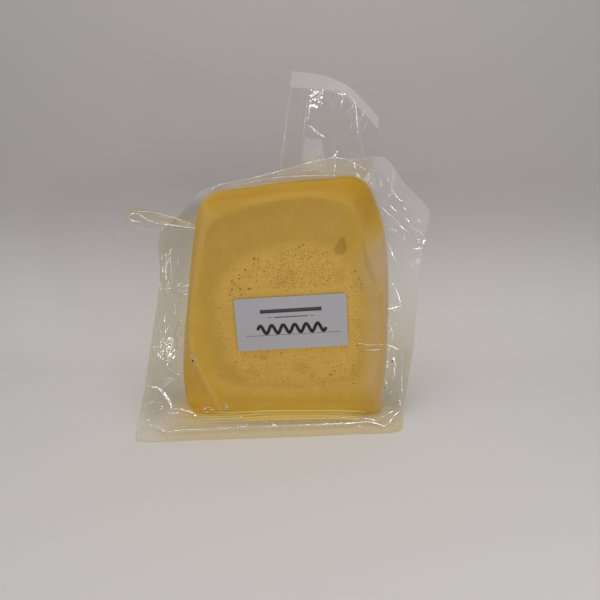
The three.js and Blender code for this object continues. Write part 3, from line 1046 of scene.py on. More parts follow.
class PACKCHEESE_OT_slab(Operator):
    """Builds the slab of cheese, with its eyes, dents and grooves"""

    bl_idname = "packed_cheese.slab"
    bl_label = "Cheese slab"

    def execute(self, context):
        settings = context.scene.cheese
        gap = settings.film_gap / MM
        grid, _, quads = slab_rows(gap)
        front, back = grid[0][:, [0, 2]], grid[-1][:, [0, 2]]
        eyes = scatter_eyes(settings.seed)
        plain = hexagonal_grid(front, settings.face_step / MM, 0.6)
        level, _ = eye_levels(plain, eyes)
        plain = plain[level > EYE_CLEARANCE]
        tear_zone = np.array(TEAR_ZONE, float)
        plain = plain[depth_within(plain, tear_zone) < 0.2]
        rings = eye_rings(eyes)
        rings = rings[depth_within(rings, front) > 0.5]
        inner = np.vstack([plain, hexagonal_grid(tear_zone, TEAR_STEP, 0.01), rings])
        sink, shade, pale = face_relief(inner, eyes, settings.eye_depth)
        fade = smooth(0, FACE_FADE, depth_within(inner, front))
        front_points = three_d(inner, FACE_Y + gap + sink * fade)

        back_flat = hexagonal_grid(back, BACK_STEP, 1.0)
        back_shape = three_d(back_flat, np.zeros(len(back_flat)))
        back_depth = depth_within(back_flat, back)
        back_sink = waves(back_shape, BACK_WAVES) * smooth(0, FACE_FADE, back_depth)
        back_points = three_d(back_flat, -FACE_Y - gap - back_sink)
        points, faces = close_faces(grid, quads, (front_points, back_points))

        # The loops come first, then the front face's points and the back's.
        loops = grid.shape[0] * AROUND
        ahead = slice(loops, loops + len(inner))
        deep = np.ones(len(points))
        deep[ahead] = 1 - pale
        deep[ahead.stop :] = 1 - smooth(*BACK_WET, back_depth)

        station = np.arange(AROUND) / AROUND * STATION_COUNT
        turn = np.linspace(0, 1, ROUNDING + 1)[:, None]
        rounding = slice(turn.size * AROUND)
        # Painted shade, carried by the eye attribute: in eyes and dents, along the top edge, down the
        # right side and on the right ridge.
        eye = np.zeros(len(points))
        # Painted shade along the top edge, on its rounding and near the face's top border.
        wet = TOP_PAINTED_SHADE * (TOP_SHADE_START + (1 - TOP_SHADE_START) * smooth(0.0, 0.5, turn))
        # Painted shade down the right side, on its rounding and near the face's right border.
        right_shade = RIGHT_PAINTED_SHADE * within_run(RIGHT_RUN, station)
        eye[rounding] = (wet * within_run(TOP_RUN, station) + right_shade).ravel()
        above = smooth(TOP_SHADE_REACH, 0, depth_within(inner, front)) * smooth(*TOP_BORDER, inner[:, 1])
        beside = RIGHT_PAINTED_SHADE * smooth(*RIGHT_BORDER, inner[:, 0])
        eye[ahead] = np.maximum(shade, np.maximum(TOP_PAINTED_SHADE * TOP_SHADE_START * above, beside))

        light = np.zeros(len(points))
        # Painted light along the foot's rounding and on the oblique facet low on the left.
        foot = np.maximum(*(smooth(off, full, station) for off, full in FOOT_EASES))
        foot = FOOT_PAINTED_LIGHT * smooth(0.5, 1.0, turn) * foot
        facet = FACET_PAINTED_LIGHT * smooth(0.0, 0.5, turn) * within_run(FACET_RUN, station)
        light[rounding] = np.maximum(foot, facet).ravel()
        light[ahead] = lightness(inner)

        seen = seen_at(points)
        in_front = points[:, 1] < 0
        # A painted highlight along the left ridge, painted shade along the right one.
        for ridge, level, most in ((LEFT_RIDGE, light, 1.0), (RIGHT_RIDGE, eye, RIDGE_SHADE)):
            near = in_front * bell(line_distance(seen, ridge), RIDGE_WIDTH)
            np.maximum(level, near * most, out=level)
        data = {"deep": deep, "eye": eye, "light": light}
        piece = make_object("cheese_slab", points, faces, data)
        finish_piece(piece, soft_cheese(settings))
        return {"FINISHED"}


# ---- The film ----------------------------------------------------------------------------------

FILM_NAMES = ("film_skin", "film_margin", "film_tent", "film_tail", "film_ear")

# How milky the film is on the slab's rounding, and down its sides a painted sheen where the
# rounding catches the light: station, amount.
RIM_HAZE_AND_SHEEN = (
    (0, 0.1), (3, 0.1), (5, 0.1), (7, 0.5), (8, 0.8), (11, 0.8), (12.5, 0.15), (16, 0.1), (18, 0.4),
    (20, 1.5), (24, 1.8), (26, 0.3), (28, 0.1),
)
FACE_HAZE_AND_SHEEN = 0.8  # and at most on the face's right border, partly painted sheen
FACE_HAZE_REACH = 13  # mm in from that border
# Where that border is milky: x, z below its top and z above its foot in mm, each from and to.
FACE_HAZE_EASES = ((32, 44), (105, 90), (5, 20))
RIM_GLOW = 0.9  # how much painted glow of the cheese it takes on the rounding how much less it takes on the right side, where it has let go
GLOW_LOSS = 0.7  # how much less does on the right side, where it has let go

CLING_GAP = 0.05  # mm between the slab's outline and the film's
FLOOR_GAP = 0.02  # mm between the floor and the film's lowest points
SKIN_STEP = 1.2  # mm between its mesh points on the faces
RIM_WAVES = ((0.2, 7.0, 21, True), (0.08, 3.0, 22, False))
FRONT_WAVES = ((0.10, 14.0, 31, False), (0.04, 5.0, 32, False))
REAR_WAVES = ((0.10, 14.0, 32, False), (0.04, 5.0, 33, False))
TEAR_DIP = 0.5  # mm that it dips into the tear-shaped eye


class PACKCHEESE_OT_skin(Operator):
    """Builds the film that clings to the slab"""

    bl_idname = "packed_cheese.skin"
    bl_label = "Film on the slab"

    def execute(self, context):
        settings = context.scene.film
        grid, normals, quads = slab_rows(-CLING_GAP)
        turn = np.concatenate([
            np.linspace(0, 1, ROUNDING + 1), np.ones(WALL), np.linspace(1, 0, ROUNDING + 1),
        ])[:, None]
        wrinkles = waves(grid.reshape(-1, 3), RIM_WAVES).reshape(grid.shape[:2])
        wrinkles = wrinkles * smooth(0.1, 1.0, turn)
        grid = grid + normals * np.maximum(wrinkles, 0)[..., None]
        grid[..., 2] = np.maximum(grid[..., 2], FLOOR_GAP)
        inner = []
        for border, side, layers in ((grid[0], -1, FRONT_WAVES), (grid[-1], 1, REAR_WAVES)):
            outline = border[:, [0, 2]]
            points = hexagonal_grid(outline, SKIN_STEP, 0.8)
            wave = waves(three_d(points, np.zeros(len(points))), layers)
            if side < 0:
                under_label = smooth(-3, 1, depth_within(points, face_outline(LABEL_OUTLINE)))
                wave = wave * (1 - under_label) - TEAR_DIP * smooth(1.3, 0.2, tear_level(points))
            wave = wave * smooth(0, 5, depth_within(points, outline))
            inner.append(three_d(points, side * (SLAB_THICKNESS / 2 + CLING_GAP + wave)))
        points, faces = close_faces(grid, quads, inner)

        # The loops come first, then the front face's points and the back's.
        rounding = slice(turn.size * AROUND)
        ahead = slice(rounding.stop, rounding.stop + len(inner[0]))
        station = np.arange(AROUND) / AROUND * STATION_COUNT
        # Milky film on the rounding, partly a painted sheen where it catches the light.
        frost = np.zeros(len(points))
        along = np.interp(station, *np.array(RIM_HAZE_AND_SHEEN).T)
        frost[rounding] = (smooth(-0.3, 0.6, turn) * along).ravel()
        x, z = inner[0][:, 0], inner[0][:, 2]
        in_x, in_top, in_foot = FACE_HAZE_EASES
        border = depth_within(inner[0][:, [0, 2]], grid[0][:, [0, 2]])
        right = smooth(*in_x, x) * smooth(*in_top, z) * smooth(*in_foot, z)
        frost[ahead] = FACE_HAZE_AND_SHEEN * right * smooth(FACE_HAZE_REACH, 0, border)
        # Painted glow of the cheese's yellow light on the film over the rounding.
        glow = np.zeros(len(points))
        wet = RIM_GLOW - GLOW_LOSS * within_run(DRY_RUN, station)
        glow[rounding] = (smooth(0.0, 0.6, turn) * wet).ravel()
        piece = make_object("film_skin", points, faces, {"frost": frost, "glow": glow})
        finish_piece(piece, clear_film(settings, gloss=0.1, slant=0.5))
        return {"FINISHED"}


MARGIN_AROUND = 1000
MARGIN_ROWS = 26
MARGIN_DRAWN = np.array([1.0, 1.0, 0.3])  # its wrinkles are drawn out upwards
MARGIN_WAVES = ((1.1, 7.0, 41, True), (1.2, 12.0, 42, False), (0.6, 2.5, 43, True))
FLAT_SHARE = 0.35  # height of its wrinkles on the floor, as a share of that on the fins
STANDING = 12  # mm above the floor at which it stands free
SEAL_START = (0.6, 0.68)  # reach at which the upper right's broad seal starts
EDGE_SEAL = (0.86, 0.9)  # and the narrow one that runs all round
EDGE_FROST = 0.35
FLAP_FROST = 0.65
# Painted light: milky haze that brightens the strip's root in front of the slab, where its shade falls.
ROOT_PAINTED_LIGHT = 1.5
RIDGE_REACH = 0.45  # where along its reach the floor strip is embossed
RIDGE_SPREAD = 0.12
STRIP_TINT_X = (-80, -50)  # x in mm between which the strip's painted glow and smoke set in
# How much painted glow of the cheese's yellow light the margin takes: all of it, and further the
# strip, its root and the fins' root.
MARGIN_GLOW, STRIP_GLOW, STRIP_ROOT_GLOW, FIN_ROOT_GLOW = 0.1, 0.3, 0.6, 0.4
STRIP_SMOKE = 0.4  # how much the strip takes the close folds' tint

TENT_STATIONS = (12.2, 16.7)
TENT_COUNT = 150
TENT_ROWS = 18
TENT_START = 11.5  # mm below the slab's face, where the tent leaves it
TENT_REACH = 0.95  # how far out on the margin it ends
TENT_LIFT = 0.15  # mm that it stands before the film it leaves and meets
TENT_GLOW = (0.35, 0.2)  # how much painted glow of the cheese it takes at the slab, and how much less at the margin
TENT_WAVES = ((0.32, 9.0, 51, True), (0.08, 3.0, 52, False))


class PACKCHEESE_OT_margin(Operator):
    """Builds the bag's empty margin: strip on the floor, fins and flap, and the tent over the top"""

    bl_idname = "packed_cheese.margin"
    bl_label = "Film margin"

    def execute(self, context):
        settings = context.scene.film
        thickness = settings.thickness / MM
        share = np.arange(MARGIN_AROUND) / MARGIN_AROUND
        station = share * STATION_COUNT
        reach = np.linspace(0, 1, MARGIN_ROWS)[:, None]
        grid = np.array([hem_point(share, np.full(MARGIN_AROUND, r)) for r in reach[:, 0]])
        shape = grid.shape[:2]
        flat = grid.reshape(-1, 3)
        normals = vertex_normals(flat, strip_quads(*shape, True))
        upright = smooth(0, STANDING, grid[..., 2])
        wrinkle = waves(flat * MARGIN_DRAWN, MARGIN_WAVES).reshape(shape)
        wrinkle = wrinkle * settings.wrinkle / MM * smooth(0.1, 0.6, reach)
        wrinkle = wrinkle * (FLAT_SHARE + (1 - FLAT_SHARE) * upright)
        grid = grid + normals.reshape(grid.shape) * wrinkle[..., None]
        grid[..., 2] = np.maximum(grid[..., 2], thickness / 2 + FLOOR_GAP)

        root = smooth(0.5, 0.1, reach)
        flap = within_run(FLAP_RUN, station)
        tinted = smooth(*STRIP_TINT_X, grid[..., 0])
        seal_and_painted_light = within_run(SEAL_RUN, station) * smooth(*SEAL_START, reach)
        seal_and_painted_light = np.maximum(seal_and_painted_light, EDGE_FROST * smooth(*EDGE_SEAL, reach))
        # Painted light on the strip's root in front of the slab.
        seal_and_painted_light = seal_and_painted_light + ROOT_PAINTED_LIGHT * root * (1 - upright)
        seal_and_painted_light = np.maximum(seal_and_painted_light, FLAP_FROST * flap * smooth(0.1, 0.3, reach))
        # Painted glow of the cheese's yellow light near the slab.
        cheese_glow = (1 - upright) * (MARGIN_GLOW + STRIP_GLOW * tinted + STRIP_ROOT_GLOW * root * tinted)
        cheese_glow += upright * (1 - flap) * (MARGIN_GLOW + FIN_ROOT_GLOW * root)
        smoke = (1 - flap) * (STRIP_SMOKE * tinted * (1 - upright) + upright)
        ridge = bell(reach - RIDGE_REACH, RIDGE_SPREAD) * (1 - upright)
        levels = {"frost": seal_and_painted_light, "glow": cheese_glow, "mesh": ridge, "smoke": smoke}
        points, faces, data = shell(grid, True, thickness, levels)
        points[:, 2] = np.maximum(points[:, 2], 0)
        piece = make_object("film_margin", points, faces, data)
        finish_piece(piece, clear_film(settings, "clear_margin_film", gloss=0.25, ripple=0.9))

        share = np.linspace(*TENT_STATIONS, TENT_COUNT) / STATION_COUNT
        start = slab_point(share, np.full(TENT_COUNT, TENT_START), -1)
        end = hem_point(share, np.full(TENT_COUNT, TENT_REACH))
        part = np.linspace(0, 1, TENT_ROWS)[:, None]
        tent = start + (end - start) * part[..., None]
        tent[..., 1] -= TENT_LIFT
        shift = waves(tent.reshape(-1, 3), TENT_WAVES).reshape(tent.shape[:2])
        tent[..., 1] -= shift * np.sin(np.pi * part)
        # Painted glow of the cheese's yellow light.
        glow = (TENT_GLOW[0] - TENT_GLOW[1] * part) * np.ones(TENT_COUNT)
        points, faces, data = shell(tent, False, thickness / 2, {"glow": glow})
        piece = make_object("film_tent", points, faces, data)
        finish_piece(piece, clear_film(settings, "clear_tent_film", gloss=0.5, slant=0.4))
        return {"FINISHED"}


# The crumpled pocket of the tail, where the two films have parted, by pixel.
POCKET_OUTLINE = (
    (310, 90), (336, 87), (349, 95), (356, 112), (361, 138), (368, 172), (300, 172), (304, 150),
    (309, 127),
)
# The part of it that is embossed.
MESH_OUTLINE = ((304, 137), (322, 139), (327, 172), (300, 172))
TAIL_ACROSS = 150
TAIL_UP = 170
TAIL_WAVES = ((1.2, 16.0, 61, False),)
TAIL_EDGE = 12  # its films come together over a twelfth of its width and height
TOP_SEAL = (0.87, 0.88)  # share of its height at which the seal starts
SIDE_SEAL = (0.97, 0.975)
SIDE_FROST = 0.3
POCKET_CLEAR = 0.6  # how much less milky the seal is over the pocket
TAIL_GLOW = 0.35  # how much painted glow of the cheese the tail takes at its foot
TAIL_GLOW_END = 0.45  # share of its height at which that ends
POCKET_SWELL = 1.2  # mm that each film of the pocket stands off
POCKET_WAVES = ((0.5, 12.0, 64, True),)
PLEATS_DRAWN = np.array([1.0, 1.0, 0.15])
PLEATS = ((0.8, 4.5, 63, True),)


class PACKCHEESE_OT_tail(Operator):
    """Builds the bag's mouth that stands up behind the slab: two films, sealed at the top"""

    bl_idname = "packed_cheese.tail"
    bl_label = "Film tail"

    def execute(self, context):
        settings = context.scene.film
        across, up = np.meshgrid(np.linspace(0, 1, TAIL_ACROSS), np.linspace(0, 1, TAIL_UP))
        flat = tail_point(across, up).reshape(-1, 3)
        seen = seen_at(flat)
        pocket = smooth(-0.5, 2.5, depth_within(seen, np.array(POCKET_OUTLINE, float)))
        free = np.minimum(np.minimum(across, 1 - across), 1 - up).ravel() * TAIL_EDGE
        free = np.clip(free, 0, 1)
        wave = waves(flat, TAIL_WAVES) * settings.wrinkle / MM
        crush = POCKET_SWELL + waves(flat, POCKET_WAVES) + waves(flat * PLEATS_DRAWN, PLEATS)
        thickness = settings.thickness / MM
        front, behind = flat.copy(), flat.copy()
        front[:, 1] -= thickness + (wave + pocket * crush) * free
        behind[:, 1] += thickness + (POCKET_SWELL * pocket - wave) * free
        frost = smooth(*TOP_SEAL, up) * (1 - POCKET_CLEAR * pocket.reshape(up.shape))
        frost = np.maximum(frost, SIDE_FROST * smooth(*SIDE_SEAL, 1 - across)).ravel()
        mesh = smooth(-1, 2, depth_within(seen, np.array(MESH_OUTLINE, float)))
        # Painted glow of the cheese's yellow light.
        glow = TAIL_GLOW * smooth(TAIL_GLOW_END, 0.0, up).ravel()
        data = {"frost": np.tile(frost, 2), "mesh": np.tile(mesh, 2), "glow": np.tile(glow, 2)}
        faces = sheet_faces(TAIL_UP, TAIL_ACROSS, False)
        piece = make_object("film_tail", np.vstack([front, behind]), faces, data)
        finish_piece(piece, clear_film(settings, "clear_tail_film", gloss=0.35))
        return {"FINISHED"}


EAR_OUT = 130
EAR_UP = 44
EAR_DRAWN = np.array([0.35, 1.0, 1.0])  # its pleats are drawn out along it
EAR_PLEATS = ((0.9, 5.0, 71, True),)
EAR_WAVES = ((0.6, 9.0, 72, False),)
EAR_RISE = np.array([0, -1.0, 0.3])  # the way that they stand off
EAR_SEAL = (0.9, 0.93)  # share of its length at which the seal at its tip starts
EAR_FROST = 0.3
# How much painted glow of the cheese the ear takes next to the slab.
EAR_GLOW = 0.6


class PACKCHEESE_OT_ear(Operator):
    """Builds the corner of the bag that is rolled into an ear on the left"""

    bl_idname = "packed_cheese.ear"
    bl_label = "Film ear"

    def execute(self, context):
        settings = context.scene.film
        out, up = np.meshgrid(np.linspace(0, 1, EAR_OUT), np.linspace(0, 1, EAR_UP), indexing="ij")
        grid = ear_point(out, up)
        flat = grid.reshape(-1, 3)
        wave = waves(flat * EAR_DRAWN, EAR_PLEATS) + waves(flat, EAR_WAVES)
        grid = grid + EAR_RISE * (wave * settings.wrinkle / MM).reshape(*out.shape, 1)
        frost = EAR_FROST * smooth(*EAR_SEAL, out)
        # Painted glow of the cheese's yellow light.
        glow = EAR_GLOW * smooth(0.4, 0.9, up) * smooth(1.0, 0.6, out)
        levels = {"frost": frost, "glow": glow}
        points, faces, data = shell(grid, False, settings.thickness / MM, levels)
        piece = make_object("film_ear", points, faces, data)
        finish_piece(piece, clear_film(settings, "clear_ear_film", gloss=0.5))
        return {"FINISHED"}


# ---- Creases -----------------------------------------------------------------------------------

# Sharp creases that catch the light: pixels along each, and its width factor.
CREASES = (
    # left fin
    (((163, 263), (163, 268), (163, 273)), 1.6),
    (((166, 261), (166, 270), (166, 281)), 1.3),
    (((170, 250), (171, 266), (172, 287)), 0.8),
    (((155, 292), (168, 289), (180, 285)), 0.9),
    (((148, 386), (158, 388), (165, 395), (170, 402), (171, 409)), 2.6),
    (((171, 409), (180, 409), (186, 411), (194, 413)), 1.2),
    (((169, 413), (174, 413), (178, 413)), 1.6),
    (((179, 322), (174, 334), (172, 345), (168, 358)), 1.2),
    (((186, 336), (180, 350), (171, 359), (167, 366), (173, 371), (182, 376)), 0.8),
    # strip on the floor
    (((139, 426), (150, 425), (158, 427), (163, 430), (166, 432)), 1.6),
    (((166, 432), (185, 430), (215, 429), (240, 427)), 1.4),
    (((240, 427), (280, 426), (330, 424), (352, 423), (370, 422), (384, 426)), 1.4),
    (((239, 425), (243, 428), (246, 429)), 1.4),
    (((247, 425), (243, 427), (241, 430)), 1.2),
    (((388, 424), (394, 416), (399, 411)), 1.3),
    (((380, 418), (389, 413), (396, 410)), 1.0),
    # slab's foot
    (((196, 417), (225, 417), (240, 417), (246, 415), (255, 414), (300, 414), (345, 414),
      (362, 415)), 0.6),
    (((325, 416), (350, 418), (370, 419), (376, 421)), 1.0),
    (((222, 407), (226, 407), (230, 408)), 0.8),
    (((226, 403), (226, 407), (226, 411)), 0.7),
    (((203, 407), (207, 407), (211, 407)), 0.7),
    (((190, 356), (193, 358), (196, 360)), 1.0),
    (((358, 343), (370, 345), (384, 344)), 0.6),
    (((362, 350), (374, 350), (383, 349)), 0.6),
    # right fin and flap
    (((381, 206), (390, 215), (400, 225), (408, 232)), 0.8),
    (((389, 245), (392, 253), (396, 262)), 1.0),
    (((392, 283), (397, 292), (401, 304)), 1.1),
    (((417, 249), (420, 248), (424, 249)), 2.0),
    (((423, 244), (424, 241), (427, 241)), 1.6),
    (((402, 352), (402, 372), (402, 392)), 0.7),
    (((400, 399), (400, 401), (400, 404)), 1.8),
    # tent over the top edge
    (((210, 190), (222, 184), (240, 180), (265, 175), (300, 165), (320, 160), (335, 157)), 1.1),
    (((335, 157), (350, 161), (366, 170)), 0.7),
    (((224, 187), (275, 178), (300, 176), (333, 175)), 0.7),
    (((335, 158), (335, 167), (334, 176)), 0.8),
    # tail
    (((290, 75), (287, 110), (284, 140), (280, 160)), 0.6),
    (((312, 96), (317, 92), (323, 94)), 2.6),
    (((313, 99), (318, 97), (322, 97)), 2.4),
    (((309, 108), (309, 112), (308, 121)), 1.6),
    (((310, 126), (314, 130), (318, 133), (323, 136)), 2.4),
    (((326, 87), (331, 89), (340, 94), (349, 94)), 0.9),
    (((343, 97), (342, 102), (341, 107)), 1.0),
    (((350, 95), (355, 104), (357, 120), (358, 134)), 0.8),
    (((308, 90), (306, 112), (303, 140)), 0.5),
    (((334, 156), (336, 154), (337, 152)), 1.4),
    # ear
    (((128, 217), (135, 212), (150, 212), (165, 215), (180, 220), (194, 225)), 0.7),
    (((131, 214), (138, 214), (148, 220), (160, 224)), 1.1),
    (((160, 224), (172, 225), (186, 227), (195, 228)), 1.3),
    (((129, 219), (134, 221), (140, 222)), 1.8),
    (((130, 223), (145, 229), (170, 229), (192, 230)), 0.5),
)

# Bright yellow beads under the film along the slab's foot, painted light over the shade there:
# pixels along each, and its width factor.
GLOW_BEADS = (
    (((203, 413), (240, 412.5), (260, 411.5), (300, 411), (345, 411), (366, 412)), 4.5),
    (((203, 415), (240, 414), (255, 413), (300, 412.5), (345, 412.5), (366, 413.5)), 3.6),
    (((200, 417), (240, 416), (255, 414.5), (300, 414), (345, 414), (362, 415)), 3.4),
    (((200, 419), (240, 418.5), (270, 417), (300, 416.5), (345, 416.5), (364, 417.5)), 4.4),
    (((240, 420), (270, 419), (300, 418.5), (345, 418.5), (360, 419)), 3.4),
)

# Patches of small glints: outline in pixels, how many, least and most length in pixels, slant in
# degrees from level, and width factor.
GLINT_FIELDS = (
    (((154, 344), (163, 338), (177, 338), (178, 350), (174, 360), (158, 361)), 110, 1.0, 3.0, 80, 1.1),
    (((172, 342), (176, 320), (182, 317), (182, 338)), 26, 1.0, 4.0, 75, 0.8),
    (((177, 283), (190, 283), (188, 298), (176, 298)), 14, 2.5, 6.0, 5, 0.5),
    (((186, 412), (198, 404), (212, 403), (214, 410), (204, 419), (188, 419)), 16, 1.0, 3.0, 10, 0.8),
    (((415, 238), (427, 239), (424, 252), (413, 252)), 8, 1.5, 4.0, 20, 0.8),
    (((311, 90), (324, 90), (322, 106), (309, 108)), 26, 1.5, 4.0, 35, 1.6),
    (((240, 420), (380, 418), (380, 426), (240, 430)), 26, 2.0, 8.0, 2, 0.35),
    (((386, 300), (400, 300), (398, 395), (385, 398)), 30, 3.0, 12.0, 88, 0.45),
    (((145, 300), (176, 305), (174, 336), (151, 336)), 16, 4.0, 14.0, 88, 0.4),
    (((160, 254), (176, 250), (179, 316), (161, 300)), 20, 4.0, 16.0, 87, 0.55),
    (((142, 395), (168, 402), (188, 415), (141, 424)), 14, 2.0, 7.0, 15, 0.4),
    (((345, 100), (366, 104), (372, 150), (348, 150)), 14, 4.0, 14.0, 80, 0.3),
    (((385, 170), (425, 212), (420, 240), (385, 235)), 16, 4.0, 12.0, -45, 0.45),
    (((226, 184), (330, 163), (330, 174), (240, 184)), 14, 4.0, 14.0, 12, 0.3),
)

# Dirt on the film: pixel, half-width and half-height in mm.
SPECKS = ((392.3, 361, 0.35, 0.85), (384.5, 388, 0.4, 0.55), (192.7, 361, 0.45, 0.7))
SPECK_DEPTH = 0.12  # mm that they stand out
SPECK_AROUND, SPECK_ALONG = 12, 7
CREASE_STEP = 2.0  # pixels between the points of a crease
CREASE_LIFT = 0.05  # mm that it lies before the film
FACET_LENGTH = 0.75  # half-length in mm of a facet in a crease
FACET_WIDTH = 0.38  # its half-width at width factor 1
FACET_DEPTH = 0.025
FACET_SWAY = 0.03  # how far its normal strays, as a share of its length
FACET_HAZE = 0.12
FACET_DETAIL = 2  # subdivisions of the lens
FACET_WIDTHS = (0.6, 1.2)  # least and most width factor that is drawn for it
TUBE_SIDES = 6
# Width at a crease's ends as a share of its middle's, and how it swells: facets, then tubes.
FACET_TAPER = (0.35, 0.5)
TUBE_TAPER = (0.15, 0.6)
GLINT_SWAY = 14  # degrees that a scattered glint strays from its patch's slant
GLINT_BEND = 0.3  # how far it bends at most, as a share of its half-length
GLINT_WIDTHS = (0.5, 1.3)  # least and most width factor that is drawn for it

# Name, material, gloss and haze of the ridges along the creases, and of the beads of painted light.
FOLD_FINISH = ("film_creases", "crease_film", 3.0, 0.25)
BEAD_FINISH = ("film_glow_beads", "glow_bead_film", 2.5, 0.75)


def film_surface():
    """A search tree over all the film, in mm."""
    points, faces = [], []
    for name in FILM_NAMES:
        mesh = bpy.data.objects[name].data
        start = len(points)
        points += [vertex.co / MM for vertex in mesh.vertices]
        faces += [[start + i for i in polygon.vertices] for polygon in mesh.polygons]
    return BVHTree.FromPolygons(points, faces)


def lay_on_film(pixels, surface):
    """Points on the film along a path of pixels, a little in front of it, and its normals there."""
    path = np.array(pixels, float)
    length = np.sum(np.linalg.norm(np.diff(path, axis=0), axis=1))
    count = max(int(length / CREASE_STEP), 3)
    laid, normals = [], []
    for px, py in catmull_rom(path, np.linspace(0, 1, count + 1), False):
        line = sight_line(px, py)
        hit, normal, _, _ = surface.ray_cast(Vector(CAMERA_PLACE), line)
        if hit is not None:
            laid.append(hit - line * CREASE_LIFT)
            normals.append(normal)
    return laid, normals


def taper(share, tip, power):
    """Width along a crease: tip at its ends, 1 in its middle."""
    return tip + (1 - tip) * math.sin(math.pi * share) ** power


def glint_normal(place, normal):
    """The way a facet at a place on the film faces when it throws a soft box at the camera."""
    to_camera = (Vector(CAMERA_PLACE) - place).normalized()
    best, closest = None, -1.0
    for side in (-1, 1):
        box = Vector((BOX_PLACE[0] * side, BOX_PLACE[1], BOX_PLACE[2])) / MM
        half = (to_camera + (box - place).normalized()).normalized()
        if abs(half.dot(normal)) > closest:
            best, closest = half, abs(half.dot(normal))
    return best


def glint_paths(draw):
    """Short pixel paths scattered over the patches of glints, with their width factors."""
    paths = []
    for outline, count, least, most, slant, width in GLINT_FIELDS:
        border = np.array(outline, float)
        low, high = border.min(0), border.max(0)
        while count:
            spot = np.array([draw.uniform(low[0], high[0]), draw.uniform(low[1], high[1])])
            if not inside(spot[None], border)[0]:
                continue
            count -= 1
            angle = math.radians(slant + draw.gauss(0, GLINT_SWAY))
            arm = np.array([math.cos(angle), -math.sin(angle)]) * draw.uniform(least, most) / 2
            bend = np.array([arm[1], -arm[0]]) * draw.uniform(-GLINT_BEND, GLINT_BEND)
            path = (spot - arm, spot + bend, spot + arm)
            paths.append((path, width * draw.uniform(*GLINT_WIDTHS)))
    return paths


def open_tree(name, output, inputs):
    """A Geometry Nodes tree with named inputs: the tree, its inputs and their identifiers."""
    tree = bpy.data.node_groups.new(name, "GeometryNodeTree")
    keys = {}
    for key, kind in inputs.items():
        socket = tree.interface.new_socket(key, in_out="INPUT", socket_type="NodeSocket" + kind)
        keys[key] = socket.identifier
    tree.interface.new_socket(output, in_out="OUTPUT", socket_type="NodeSocketGeometry")
    return tree, tree.nodes.new("NodeGroupInput").outputs, keys


def close_tree(tree, shape, finish):
    """Ends a tree: instances made real, the material set and the result put out."""
    real = add_node(tree, "GeometryNodeRealizeInstances", Geometry=shape)
    made = add_node(tree, "GeometryNodeSetMaterial", Geometry=real.outputs[0], Material=finish)
    result = add_node(tree, "NodeGroupOutput")
    tree.links.new(made.outputs[0], result.inputs[0])


def crease_tree():
    """Geometry Nodes: a tube along every path, tapered by the paths' radius."""
    inputs = {"Paths": "Geometry", "Width": "Float", "Sides": "Int", "Material": "Material"}
    tree, given, keys = open_tree("crease_tubes", "Tubes", inputs)
    circle = add_node(tree, "GeometryNodeCurvePrimitiveCircle", Resolution=given["Sides"])
    half = add_node(
        tree, "ShaderNodeMath", {"operation": "MULTIPLY"}, Value=given["Width"], Value_001=0.5,
    )
    radius = add_node(tree, "GeometryNodeInputRadius")
    scale = add_node(
        tree, "ShaderNodeMath", {"operation": "MULTIPLY"},
        Value=radius.outputs[0], Value_001=half.outputs[0],
    )
    tubes = add_node(
        tree, "GeometryNodeCurveToMesh", Curve=given["Paths"],
        Profile__Curve=circle.outputs[0], Scale=scale.outputs[0], Fill__Caps=True,
    )
    close_tree(tree, tubes.outputs[0], given["Material"])
    return tree, keys


def facet_tree():
    """Geometry Nodes: a flat lens of film on every point, turned and sized by its attributes."""
    inputs = {"Points": "Geometry", "Detail": "Int", "Material": "Material"}
    tree, given, keys = open_tree("crease_facets", "Facets", inputs)
    lens = add_node(tree, "GeometryNodeMeshIcoSphere", Radius=1.0, Subdivisions=given["Detail"])
    aim, along, size = (
        add_node(
            tree, "GeometryNodeInputNamedAttribute", {"data_type": "FLOAT_VECTOR"}, Name=key,
        ).outputs["Attribute"]
        for key in ("aim", "along", "size")
    )
    turned = add_node(tree, "FunctionNodeAlignRotationToVector", {"axis": "Z"}, Vector=aim)
    aligned = add_node(
        tree, "FunctionNodeAlignRotationToVector", {"axis": "X", "pivot_axis": "Z"},
        Rotation=turned.outputs[0], Vector=along,
    )
    placed = add_node(
        tree, "GeometryNodeInstanceOnPoints", Points=given["Points"],
        Instance=lens.outputs["Mesh"], Rotation=aligned.outputs[0], Scale=size,
    )
    close_tree(tree, placed.outputs[0], given["Material"])
    return tree, keys


def run_tree(source, grow, values, name):
    """The mesh that a tree grows from a mesh or curve, as a plain object of that name."""
    thing = bpy.data.objects.new(source.name, source)
    bpy.context.scene.collection.objects.link(thing)
    tree, keys = grow()
    modifier = thing.modifiers.new(tree.name, "NODES")
    modifier.node_group = tree
    for key, value in values.items():
        modifier[keys[key]] = value
    mesh = bpy.data.meshes.new_from_object(
        thing.evaluated_get(bpy.context.evaluated_depsgraph_get())
    )
    mesh.name = name
    grown = bpy.data.objects.new(name, mesh)
    bpy.context.scene.collection.objects.link(grown)
    bpy.data.objects.remove(thing)
    return grown


def facets_along(laid, normals, width, draw):
    """Rows of place, aim, direction and size in mm for the facets of one crease."""
    rows = []
    for k, (place, normal) in enumerate(zip(laid, normals)):
        after, before = laid[min(k + 1, len(laid) - 1)], laid[max(k - 1, 0)]
        along = (after - before).normalized()
        sway = Vector([draw.gauss(0, FACET_SWAY) for _ in range(3)])
        aim = (glint_normal(place, normal) + sway).normalized()
        share = k / (len(laid) - 1)
        wide = width * FACET_WIDTH * taper(share, *FACET_TAPER) * draw.uniform(*FACET_WIDTHS)
        rows.append((place, aim, along, (FACET_LENGTH, wide, FACET_DEPTH)))
    return rows


